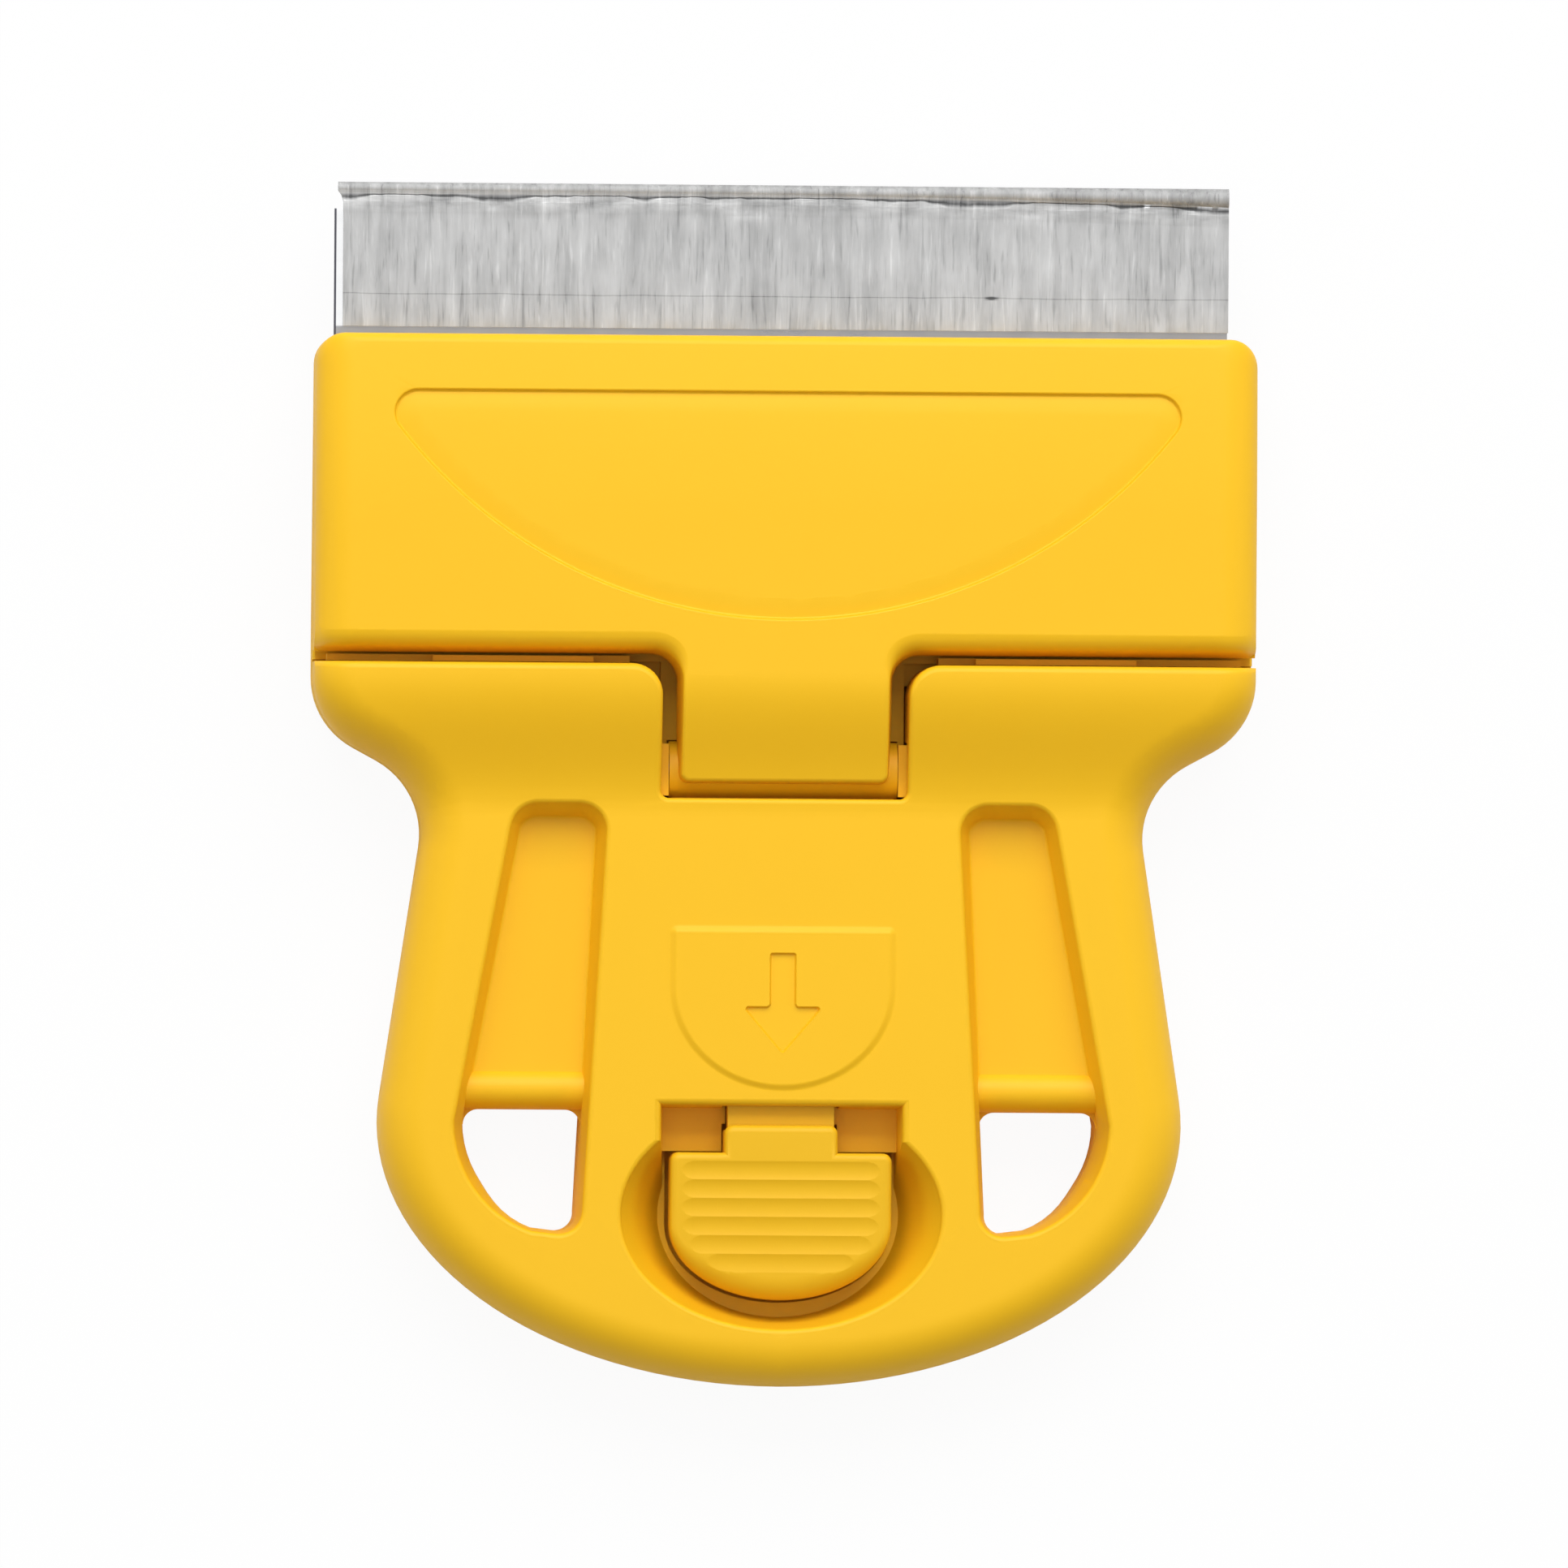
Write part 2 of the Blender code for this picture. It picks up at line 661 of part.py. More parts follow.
def window_outlines():
    return [window_outline(), mirrored(window_outline())]


def window_recess(name, points):
    """The blind upper part of a window, with leaning walls, above the cross bar."""
    floor_z = HANDLE_HEIGHT - WINDOW_DEPTH
    rings = [ring(inset(points, WINDOW_DRAFT), floor_z)]
    rings += [ring(points, HANDLE_HEIGHT), ring(points, TOP_OF_CUTS)]
    return cut(loft(name, rings), before_y("recess_end", BAR_Y))


def window_hole(name, points, end_y):
    """The open lower part of a window, through both shells."""
    narrow = inset(points, HOLE_DRAFT)
    rings = [ring(narrow, -CUT_MARGIN), ring(narrow, PARTING_Z)]
    rings += [ring(points, HANDLE_HEIGHT), ring(points, TOP_OF_CUTS)]
    return cut(loft(name, rings), past_y("hole_end", end_y))


def scoop_outline(margin):
    return arc(0, SCOOP_Y, SCOOP_WIDTH / 2 + margin, SCOOP_LENGTH / 2 + margin, 0, 360, FINE_TURN)[:-1]


def scoop():
    """The finger scoop round the button, narrowing downwards."""
    high = scoop_outline(0)
    low = arc(0, SCOOP_Y, WELL_HALF + GAP, SCOOP_Y - WELL_END_Y + GAP, 0, 360, FINE_TURN)[:-1]
    rings = [ring(low, HANDLE_HEIGHT - SCOOP_DEPTH), ring(high, HANDLE_HEIGHT), ring(high, TOP_OF_CUTS)]
    return cut(loft("scoop", rings), past_y("scoop_end", WELL_TOP_Y - GAP))


def screw_places():
    places = []
    for side in (1, -1):
        places.append((side * SHOULDER_SCREW_X, SHOULDER_SCREW_Y))
        places.append((side * END_SCREW_X, END_SCREW_Y))
    return places


def bosses(low, high):
    middle = (low + high) / 2
    return [cylinder("boss", (x, y, middle), BOSS_RADIUS, high - low, "Z") for x, y in screw_places()]


def screw_tip_z():
    return SCREW_SINK + SCREW_LENGTH


def handle_hollow(name, low, high):
    """The space inside the shells' outer walls, up to the shoulders."""
    points = inset(body_outline(), WALL)
    return cut(plate(name, points, low, high), past_y("hollow_end", SHOULDER_Y - WALL))


# The pieces

def front_shell():
    low = PARTING_Z + GAP / 2
    shell = front_form("front_shell", low)
    well = well_outline()
    notch = notched_outline(NOTCH_HALF, NOTCH_Y, SHOULDER_Y, NOTCH_CORNER, TONGUE_BLEND)
    below = low - CUT_MARGIN
    hollow = handle_hollow("hollow", below, BRIDGE_UNDERSIDE_Z)
    cut(hollow, plate("well_block", inset(well, -WELL_WALL), below - CUT_MARGIN, HANDLE_HEIGHT))
    cut(hollow, plate("scoop_block", scoop_outline(GAP), below - CUT_MARGIN, HANDLE_HEIGHT))
    cut(hollow, plate("notch_block", inset(notch, -WALL), below - CUT_MARGIN, HANDLE_HEIGHT))
    for points in window_outlines():
        cut(hollow, plate("window_block", inset(points, -WINDOW_WALL), below - CUT_MARGIN, HANDLE_HEIGHT))
    cut(hollow, *bosses(below - CUT_MARGIN, HANDLE_HEIGHT))
    cut(shell, hollow)
    skirt = plate("well_skirt", inset(well, -WELL_WALL), WALL + GAP, low + CUT_MARGIN)
    join(shell, skirt)
    for points in window_outlines():
        cut(shell, window_recess("recess", points), window_hole("hole", points, BAR_Y))
    for side in (1, -1):
        middle = side * (WINDOW_INNER_TOP_X + WINDOW_OUTER_LOW_X) / 2
        length = WINDOW_OUTER_LOW_X - WINDOW_INNER_TOP_X
        bar = cylinder("bar", (middle, BAR_Y, BAR_Z), BAR_RADIUS, length, "X")
        join(shell, cut(bar, block("bar_underside", (-FAR, -FAR, -FAR), (FAR, FAR, low))))
    cut(shell, join(scoop(), plate("well", well, 0, TOP_OF_CUTS + CUT_MARGIN)))
    cut(shell, plate("notch", notch, 0, TOP_OF_CUTS))
    tunnel = plate("tunnel", inset(arm_outline(), -2 * GAP), 0, BRIDGE_UNDERSIDE_Z)
    cut(shell, tunnel)
    room = HUB_HALF + HUB_SIDE_GAP
    cut(shell, block("hub_room", (-room, ARM_ROOT_Y - WALL, 0), (room, HINGE_Y, BRIDGE_UNDERSIDE_Z)))
    for side in (1, -1):
        middle = side * (EAR_INNER_X + EAR_THICKNESS / 2)
        half = EAR_THICKNESS / 2 + GAP
        along = EAR_LENGTH / 2 + GAP
        low_corner = (middle - half, HINGE_Y - along, 0)
        cut(shell, block("ear_room", low_corner, (middle + half, HINGE_Y + along, EAR_TOP_Z + GAP)))
    top = screw_tip_z() + GAP
    pilot_radius = SCREW_DIAMETER / 2 + SHEET_GAP
    for x, y in screw_places():
        cut(shell, cylinder("pilot", (x, y, top / 2), pilot_radius, top, "Z", SMALL_SIDES))
    raised = plate("shield", shield_outline(), HANDLE_HEIGHT - WALL / 2, HANDLE_HEIGHT + SHIELD_RAISE)
    return join(shell, raised)


def rear_shell():
    shell = rear_form("rear_shell", SEAT_Z)
    high = PARTING_Z - GAP / 2
    cut(shell, block("handle_top", (-FAR, -FAR, high), (FAR, SHOULDER_Y + GAP, FAR)))
    hollow = handle_hollow("hollow", WALL, SEAT_Z)
    for points in window_outlines():
        around = plate("hole_block", inset(points, HOLE_DRAFT - WINDOW_WALL), 0, HANDLE_HEIGHT)
        cut(hollow, cut(around, past_y("block_end", HOLE_TOP_Y + WINDOW_WALL)))
    cut(hollow, *bosses(0, HANDLE_HEIGHT))
    cut(shell, hollow)
    for points in window_outlines():
        cut(shell, window_hole("hole", points, HOLE_TOP_Y))
    for side in (1, -1):
        middle = side * (EAR_INNER_X + EAR_THICKNESS / 2)
        half = EAR_THICKNESS / 2
        low_corner = (middle - half, HINGE_Y - EAR_LENGTH / 2, WALL / 2)
        join(shell, block("ear", low_corner, (middle + half, HINGE_Y + EAR_LENGTH / 2, EAR_TOP_Z)))
    cut(shell, cylinder("pin_bore", (0, HINGE_Y, HINGE_Z), BORE_RADIUS, NOTCH_WIDTH * 2, "X"))
    sink = SCREW_SINK + SCREW_HEAD_HEIGHT + GAP
    hole_radius = SCREW_DIAMETER / 2 + GAP
    for x, y in screw_places():
        cut(shell, cylinder("head_room", (x, y, 0), SCREW_HEAD_DIAMETER / 2 + GAP, sink * 2, "Z"))
        cut(shell, cylinder("screw_hole", (x, y, 0), hole_radius, HANDLE_HEIGHT * 2, "Z", SMALL_SIDES))
    post_radius = SPRING_DIAMETER / 2 - SPRING_WIRE - GAP
    post_top = WALL + SPRING_POST_HEIGHT
    post = cylinder("spring_post", (0, SPRING_Y, post_top - WALL), post_radius, WALL * 2, "Z")
    join(shell, cut(post, block("post_underside", (-FAR, -FAR, -FAR), (FAR, FAR, WALL / 2))))
    cut(shell, *gap_grooves())
    cut(shell, *tray_pockets())
    back = BLADE_BACK_Y - GAP
    stop_top = SEAT_Z + BLADE_STOP_HEIGHT
    for side in (1, -1):
        left = side * BLADE_STOP_X - BLADE_STOP_WIDTH / 2
        low_corner = (left, back - BLADE_STOP_THICKNESS, SEAT_Z - CUT_MARGIN)
        join(shell, block("blade_stop", low_corner, (left + BLADE_STOP_WIDTH, back, stop_top)))
    return shell


def gap_grooves():
    """The groove below the jaw's edge, left standing where the two stop pads are."""
    near = PAD_X - PAD_WIDTH / 2
    far = PAD_X + PAD_WIDTH / 2
    start_y = SHOULDER_Y + GAP
    end_y = start_y + GROOVE_LENGTH
    spans = [(-FAR, -far), (-near, near), (far, FAR)]
    return [block("groove", (left, start_y, GROOVE_Z), (right, end_y, FAR)) for left, right in spans]


def tray_pockets():
    """Open pockets between ribs in the rear jaw, behind the blade."""
    edge = HEAD_HALF - JAW_WALL
    ribs = [0.0, BLADE_STOP_X - BLADE_STOP_WIDTH / 2 - RIB, edge + RIB / 2]
    made = []
    for near, far in zip(ribs, ribs[1:]):
        for side in (1, -1):
            ends = sorted((side * (near + RIB / 2), side * (far - RIB / 2)))
            made.append(block("tray", (ends[0], TRAY_START_Y, TRAY_Z), (ends[1], TRAY_END_Y, FAR)))
    return made


def clamp_jaw():
    crescent = plate("crescent", crescent_outline(), HANDLE_HEIGHT - CRESCENT_DEPTH, TOP_OF_CUTS)
    jaw = front_form("clamp_jaw", PARTING_Z + GAP / 2, crescent)
    plan = notched_outline(TONGUE_HALF, TONGUE_END_Y, JAW_LOW_Y, NOTCH_CORNER, TONGUE_BLEND)
    keep(jaw, plate("jaw_plan", plan, JAW_UNDERSIDE_Z, TOP_OF_CUTS))
    cut(jaw, block("under_tongue", (-FAR, -FAR, -FAR), (FAR, JAW_LOW_Y - GAP, TONGUE_UNDERSIDE_Z)))
    edge = HEAD_HALF - JAW_WALL
    ribs = [-OUTER_RIB_X, -INNER_RIB_X, 0.0, INNER_RIB_X, OUTER_RIB_X]
    walls = [-edge - RIB / 2, *ribs, edge + RIB / 2]
    pocket_low = JAW_LOW_Y + JAW_WALL
    pocket_high = BODY_LENGTH - JAW_LIP
    for left, right in zip(walls, walls[1:]):
        low_corner = (left + RIB / 2, pocket_low, 0)
        cut(jaw, block("jaw_pocket", low_corner, (right - RIB / 2, pocket_high, JAW_ROOF_Z)))
    hub = cylinder("hub", (0, HINGE_Y, HINGE_Z), HUB_RADIUS, HUB_HALF * 2, "X")
    join(jaw, hub, plate("arm", arm_outline(), ARM_LOW_Z, ARM_TOP_Z))
    cut(jaw, cylinder("hub_bore", (0, HINGE_Y, HINGE_Z), BORE_RADIUS, NOTCH_WIDTH * 2, "X"))
    peg_y = ARM_END_Y + PEG_FROM_ARM_END
    hole_radius = PEG_DIAMETER / 2 + GAP
    length = ARM_HEIGHT * 4
    return cut(jaw, cylinder("peg_hole", (0, peg_y, ARM_LOW_Z), hole_radius, length, "Z", SMALL_SIDES))


def press_button():
    points = button_outline()
    radii = []
    for _, y in points:
        towards_end = smooth((BUTTON_ROUND_Y - y) / (BUTTON_ROUND_Y - BUTTON_END_Y))
        radii.append(BUTTON_EDGE + (BUTTON_END_EDGE - BUTTON_EDGE) * towards_end)
    rings = [ring(points, BUTTON_LOW_Z)]
    for step in range(EDGE_STEPS + 1):
        angle = math.pi / 2 * step / EDGE_STEPS
        pulled = inset(points, [radius * (1 - math.cos(angle)) for radius in radii])
        heights = [BUTTON_Z - radius * (1 - math.sin(angle)) for radius in radii]
        rings.append([(x, y, z) for (x, y), z in zip(pulled, heights)])
    button = loft("press_button", rings)
    cut(button, *ridge_valleys())
    slot_half = ARM_WIDTH / 2 + GAP
    slot_top = ARM_TOP_Z + GAP
    cut(button, block("arm_slot", (-slot_half, ARM_END_Y - GAP, 0), (slot_half, FAR, slot_top)))
    pocket_radius = SPRING_DIAMETER / 2 + SPRING_POCKET_GAP
    pocket_top = SPRING_HIGH_Z + GAP
    cut(button, cylinder("spring_pocket", (0, SPRING_Y, pocket_top / 2), pocket_radius, pocket_top, "Z"))
    peg_y = ARM_END_Y + PEG_FROM_ARM_END
    peg_length = slot_top + GAP - ARM_LOW_Z
    peg_middle = (0, peg_y, ARM_LOW_Z + peg_length / 2)
    return join(button, cylinder("peg", peg_middle, PEG_DIAMETER / 2, peg_length, "Z", SMALL_SIDES))


def ridge_valleys():
    """Round bars that scoop the button's face between one ridge and the next."""
    half_pitch = RIDGE_PITCH / 2
    radius = (half_pitch ** 2 + VALLEY_DEPTH ** 2) / (2 * VALLEY_DEPTH)
    made = []
    for index in range(VALLEY_COUNT):
        y = BUTTON_TOP_Y - FIRST_VALLEY - RIDGE_PITCH * (index + 1 / 2)
        half = ridge_half_length(y)
        centre = (0, y, BUTTON_Z - VALLEY_DEPTH + radius)
        made.append(cylinder("valley", centre, radius, half * 2, "X"))
    return made


def ridge_half_length(y):
    depth = BUTTON_ROUND_Y - BUTTON_END_Y
    below = max(0.0, BUTTON_ROUND_Y - (y - RIDGE_PITCH / 2)) / depth
    return BUTTON_WIDTH / 2 * math.sqrt(max(0.0, 1 - below * below)) - RIDGE_MARGIN


def hinge_pin():
    return cylinder("hinge_pin", (0, HINGE_Y, HINGE_Z), PIN_DIAMETER / 2, EAR_OUTER_X * 2, "X")


def closing_spring():
    curve = bpy.data.curves.new("closing_spring", "CURVE")
    curve.dimensions = "3D"
    curve.bevel_depth = SPRING_WIRE / 2
    curve.bevel_resolution = 2
    curve.use_fill_caps = True
    spline = curve.splines.new("POLY")
    count = SPRING_TURNS * POINTS_PER_TURN + 1
    spline.points.add(count - 1)
    radius = SPRING_DIAMETER / 2 - SPRING_WIRE / 2
    low = SPRING_LOW_Z + SPRING_WIRE / 2
    high = SPRING_HIGH_Z - SPRING_WIRE / 2
    for index, point in enumerate(spline.points):
        angle = 2 * math.pi * index / POINTS_PER_TURN
        z = low + (high - low) * index / (count - 1)
        point.co = (radius * math.cos(angle), SPRING_Y + radius * math.sin(angle), z, 1)
    coil = new_object("closing_spring", curve)
    return as_mesh(coil)


def blade():
    half = BLADE_THICKNESS / 2
    lower = [(BLADE_BACK_Y, -half), (BLADE_EDGE_Y - BLADE_BEVEL, -half), (BLADE_EDGE_Y, -BLADE_EDGE / 2)]
    upper = [(y, -z) for y, z in reversed(lower)]
    profile = [(y, z + BLADE_Z) for y, z in lower + upper]
    left = BLADE_SHIFT - BLADE_LENGTH / 2
    return side_profile("blade", profile, left, left + BLADE_LENGTH)


def edge_guard():
    """Two flanges and a rolled bead, as one folded sheet over the blade's edge."""
    inner = BLADE_THICKNESS / 2 + SHEET_GAP
    outer = inner + GUARD_SHEET
    start = BODY_LENGTH + GUARD_MOUTH_GAP
    bead_y = GUARD_TOP_Y - GUARD_BEAD_RADIUS
    profile = []
    for reach, radius in ((outer, GUARD_BEAD_RADIUS), (inner, GUARD_BEAD_RADIUS - GUARD_SHEET)):
        last = 180 - math.degrees(math.asin(reach / radius))
        rolled = arc(bead_y, 0, radius, radius, -last, last, CORNER_TURN)
        side = [(start, -reach), *rolled, (start, reach)]
        profile += side if reach == outer else side[::-1]
    profile = [(y, z + BLADE_Z) for y, z in profile]
    half = (BLADE_LENGTH - GUARD_SHORTER) / 2
    middle = BLADE_SHIFT + GUARD_SHIFT
    return side_profile("edge_guard", profile, middle - half, middle + half)


def shell_screw(index, x, y):
    name = "shell_screw_%d" % index
    head_middle = SCREW_SINK + SCREW_HEAD_HEIGHT / 2
    screw = cylinder(name, (x, y, head_middle), SCREW_HEAD_DIAMETER / 2, SCREW_HEAD_HEIGHT, "Z")
    middle = (SCREW_SINK + SCREW_HEAD_HEIGHT / 2 + screw_tip_z()) / 2
    length = screw_tip_z() - SCREW_SINK - SCREW_HEAD_HEIGHT / 2
    join(screw, cylinder("shank", (x, y, middle), SCREW_DIAMETER / 2, length, "Z", SMALL_SIDES))
    reach = SCREW_SLOT_LENGTH / 2
    half = SCREW_SLOT / 2
    depth = SCREW_SINK + SCREW_HEAD_HEIGHT / 2
    cut(screw, block("slot", (x - reach, y - half, -CUT_MARGIN), (x + reach, y + half, depth)))
    return cut(screw, block("slot", (x - half, y - reach, -CUT_MARGIN), (x + half, y + reach, depth)))


def seat(piece, origin, carrier, finish):
    """Move the piece to the parts, with its origin at a point, and hang it on the carrier."""
    cutters.objects.unlink(piece)
    parts.objects.link(piece)
    for polygon in piece.data.polygons:
        polygon.use_smooth = True
        polygon.material_index = 0
    piece.data.set_sharp_from_angle(angle=math.radians(SHARP_ANGLE))
    piece.data.materials.clear()
    piece.data.materials.append(finish)
    piece.data.transform(Matrix.Translation(-Vector(origin)))
    piece.location = origin
    piece.parent = carrier


def main():
    clear_scene()
    carrier = bpy.data.objects.new("scraper_middle", None)
    parts.objects.link(carrier)
    carrier.location = (0, -GUARD_TOP_Y / 2, 0)
    yellow = material("yellow_plastic", YELLOW, 0.42, 0.0)
    steel = material("polished_steel", STEEL, 0.25, 1.0)
    foil = material("guard_sheet", FOIL, 0.45, 1.0)
    hinge = (0, HINGE_Y, HINGE_Z)
    seat(rear_shell(), (0, 0, 0), carrier, yellow)
    seat(front_shell(), (0, 0, 0), carrier, yellow)
    seat(clamp_jaw(), hinge, carrier, yellow)
    seat(press_button(), hinge, carrier, yellow)
    seat(hinge_pin(), hinge, carrier, steel)
    seat(closing_spring(), (0, SPRING_Y, SPRING_LOW_Z), carrier, steel)
    seat(blade(), (BLADE_SHIFT, BODY_LENGTH, BLADE_Z), carrier, steel)
    seat(edge_guard(), (BLADE_SHIFT + GUARD_SHIFT, BODY_LENGTH, BLADE_Z), carrier, foil)
    for index, (x, y) in enumerate(screw_places()):
        seat(shell_screw(index + 1, x, y), (x, y, 0), carrier, steel)


main()
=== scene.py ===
"""Hand scraper with a spring-closed jaw, dressed for its portrait.

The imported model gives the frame. The moulded skins, the jaw, the button, the blade, the guard, the spring
and the screws are modelled again here with finer forms, in the sizes of that model. The hinge pin stays as
it is and gets its finish. Lengths are in metres. X runs across and Z from the back to the front. The pieces
are drawn with Y measured from the handle's end towards the blade, and are moved to the frame's middle when
they are done.
"""

import math

import bpy
from mathutils import Matrix, Vector, noise

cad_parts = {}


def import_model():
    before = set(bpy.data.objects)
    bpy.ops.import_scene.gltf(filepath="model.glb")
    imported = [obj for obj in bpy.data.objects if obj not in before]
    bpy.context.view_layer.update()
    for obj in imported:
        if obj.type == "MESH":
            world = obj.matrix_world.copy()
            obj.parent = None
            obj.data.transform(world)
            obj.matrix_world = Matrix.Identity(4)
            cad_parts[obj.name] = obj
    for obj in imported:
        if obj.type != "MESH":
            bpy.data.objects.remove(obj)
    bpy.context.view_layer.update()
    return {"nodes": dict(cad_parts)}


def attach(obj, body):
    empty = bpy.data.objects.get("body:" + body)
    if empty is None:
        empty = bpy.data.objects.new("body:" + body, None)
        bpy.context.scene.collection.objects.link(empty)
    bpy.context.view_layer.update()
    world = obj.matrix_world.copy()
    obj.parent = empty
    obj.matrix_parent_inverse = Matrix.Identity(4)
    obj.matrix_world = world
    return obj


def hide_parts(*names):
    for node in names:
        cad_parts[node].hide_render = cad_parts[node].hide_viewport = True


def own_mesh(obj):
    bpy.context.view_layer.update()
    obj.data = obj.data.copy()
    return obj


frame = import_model()

MM = 0.001
FAR = 0.4
TINY = 0.002 * MM
MARGIN = 1.0 * MM
GAP = 0.3 * MM
SHEET_GAP = 0.15 * MM
SIDES = (1, -1)

# Fineness of round forms, in degrees for one step
FINE_TURN = 3.0
ROUND_TURN = 6.0
CORNER_TURN = 9.0
WIRE_TURN = 27.0
ROD_SIDES = 48
SCREW_SIDES = 32
HUB_SIDES = 72
EDGE_STEPS = 10
RIM_STEPS = 6
RIM_TURN = 80.0
RIM_PAST = 0.1

# Handle and head outline
BODY_LENGTH = 117.5 * MM
HEAD_HALF = 52.7 * MM
HANDLE_HALF = 45.0 * MM
HANDLE_END_LENGTH = 29.4 * MM
WAIST_HALF = 40.6 * MM
WAIST_Y = 60.0 * MM
FLARE_RADIUS = 9.4 * MM
SHOULDER_RADIUS = 9.0 * MM
FLARE_RUN = 3.0 * MM
SHOULDER_Y = 80.8 * MM
SHOULDER_SIDE = 1.6 * MM
MOUTH_CORNER = 3.2 * MM

# Heights above the back face
HANDLE_HEIGHT = 15.0 * MM
HEAD_STEP = 4.5 * MM
STEP_START_Y = 63.8 * MM
STEP_END_Y = 79.8 * MM
STEP_SLICES = 20
MOUTH_DROP = 1.1 * MM
MOUTH_DROP_LENGTH = 20.5 * MM
DROP_SLICES = 10
PARTING_Z = 7.5 * MM
SEAT_Z = 9.0 * MM
REAR_LIFT = 5.0 * MM
REAR_LIFT_LENGTH = 31.5 * MM
WALL = 2.2 * MM
STRETCH_LOW_Z = PARTING_Z + GAP / 2
STRETCH_HIGH_Z = 9.5 * MM

# Rounded edges: how far they reach inwards, and how far down
HANDLE_EDGE_REACH = 5.2 * MM
HANDLE_EDGE_DROP = 5.4 * MM
HEAD_EDGE_REACH = 4.4 * MM
HEAD_EDGE_DROP = 3.6 * MM
MOUTH_EDGE = 1.1 * MM
MOUTH_INNER_CORNER = 1.0 * MM
REAR_EDGE = 4.0 * MM
REAR_HEAD_EDGE = 1.8 * MM
PARTING_EDGE = 0.25 * MM

# Jaw and its tongue
JAW_LOW_Y = 82.4 * MM
NOTCH_HALF = 13.8 * MM
NOTCH_Y = 65.8 * MM
TONGUE_HALF = 11.55 * MM
TONGUE_END_Y = 67.7 * MM
NOTCH_CORNER = 0.9 * MM
TONGUE_BLEND = 3.5 * MM
TONGUE_UNDERSIDE_Z = 12.5 * MM
JAW_UNDERSIDE_Z = 9.7 * MM
JAW_ROOF_Z = 16.0 * MM
JAW_WALL = 2.4 * MM
JAW_LIP = 3.0 * MM
JAW_RIM = 2.2 * MM
JAW_DRAFT = 0.45 * MM
TONGUE_RIM = 0.4 * MM
SHOULDER_RIM = 0.8 * MM
NOTCH_RIM = 0.6 * MM
RIB = 1.6 * MM
RIB_PLACES = [-46.0 * MM, -19.5 * MM, 0.0, 19.5 * MM, 46.0 * MM]

# Crescent recess in the jaw's face. Its floor is given as places in from the outline and shares of the dip.
CRESCENT_DEPTH = 0.32 * MM
CRESCENT_DIP = 0.20 * MM
CRESCENT_TOP_Y = 111.2 * MM
CRESCENT_LOW_Y = 85.8 * MM
CRESCENT_RADIUS = 55.0 * MM
CRESCENT_CORNER = 2.6 * MM
CRESCENT_RIM = 0.25 * MM
CRESCENT_FLOOR = [(2.3 * MM, 0), (1.3 * MM, 1 / 3), (CRESCENT_RIM, 1), (CRESCENT_RIM / 3, 1 / 2)]

# Stop pads and the groove in the gap, pockets and blade stops of the rear jaw
PAD_X = 30.4 * MM
PAD_WIDTH = 18.0 * MM
PAD_Z = 14.0 * MM
PAD_END_Y = 81.6 * MM
GAP_FLOOR_END_Y = 81.7 * MM
GROOVE_Z = 9.0 * MM
GAP_FLOOR_Z = 12.4 * MM
GAP_FLOOR_END_X = 51.2 * MM
SLOT_FLOOR_Z = 8.6 * MM
SLOT_FLOOR_START_Y = 72.35 * MM
FLOOR_START_Y = SHOULDER_Y + SHEET_GAP
GROOVE_START_Y = SHOULDER_Y + GAP
GROOVE_LENGTH = 3.4 * MM
TRAY_START_Y = 87.0 * MM
TRAY_END_Y = 103.6 * MM
TRAY_Z = 5.2 * MM
BLADE_STOP_X = 32.4 * MM
BLADE_STOP_WIDTH = 20.0 * MM
BLADE_STOP_HEIGHT = 1.6 * MM
BLADE_STOP_THICKNESS = 1.4 * MM

# Hinge and arm
HINGE_Y = 69.0 * MM
HINGE_Z = 10.0 * MM
BORE_RADIUS = 1.8 * MM
BORE_LENGTH = 4 * NOTCH_HALF
HUB_RADIUS = 3.2 * MM
ARM_ROOT_TOP_Z = 10.9 * MM
HUB_HALF = 12.78 * MM
EAR_INNER_X = 12.85 * MM
EAR_THICKNESS = 2.6 * MM
EAR_LENGTH = 5.8 * MM
EAR_TOP_Z = 12.9 * MM
ARM_TOP_Z = 12.4 * MM
ARM_LOW_Z = 8.9 * MM
ARM_HALF = 5.95 * MM
ARM_ROOT_Y = 63.5 * MM
ARM_TAPER_Y = 54.0 * MM
ARM_END_Y = 22.0 * MM
BRIDGE_UNDERSIDE_Z = 12.8 * MM

# Press button
BUTTON_HALF = 12.4 * MM
BUTTON_TOP_Y = 26.2 * MM
BUTTON_ROUND_Y = 18.1 * MM
BUTTON_END_Y = 9.7 * MM
BUTTON_Z = 14.0 * MM
BUTTON_LOW_Z = 8.8 * MM
BUTTON_EDGE = 0.8 * MM
BUTTON_END_EDGE = 2.6 * MM
BUTTON_CORNER = 1.0 * MM
NECK_HALF = 6.35 * MM
NECK_TOP_Y = 29.3 * MM
VALLEY_COUNT = 6
RIDGE_PITCH = 2.08 * MM
RIDGE_DEPTH = 0.17 * MM
FIRST_VALLEY = 0.92 * MM
VALLEY_FADE = 1.6 * MM
BUTTON_FALL = 1.2 * MM
RIDGE_MARGIN = 0.9 * MM
PEG_RADIUS = 1.3 * MM
PEG_Y = 25.2 * MM
PEG_HOLE_LENGTH = 13.2 * MM

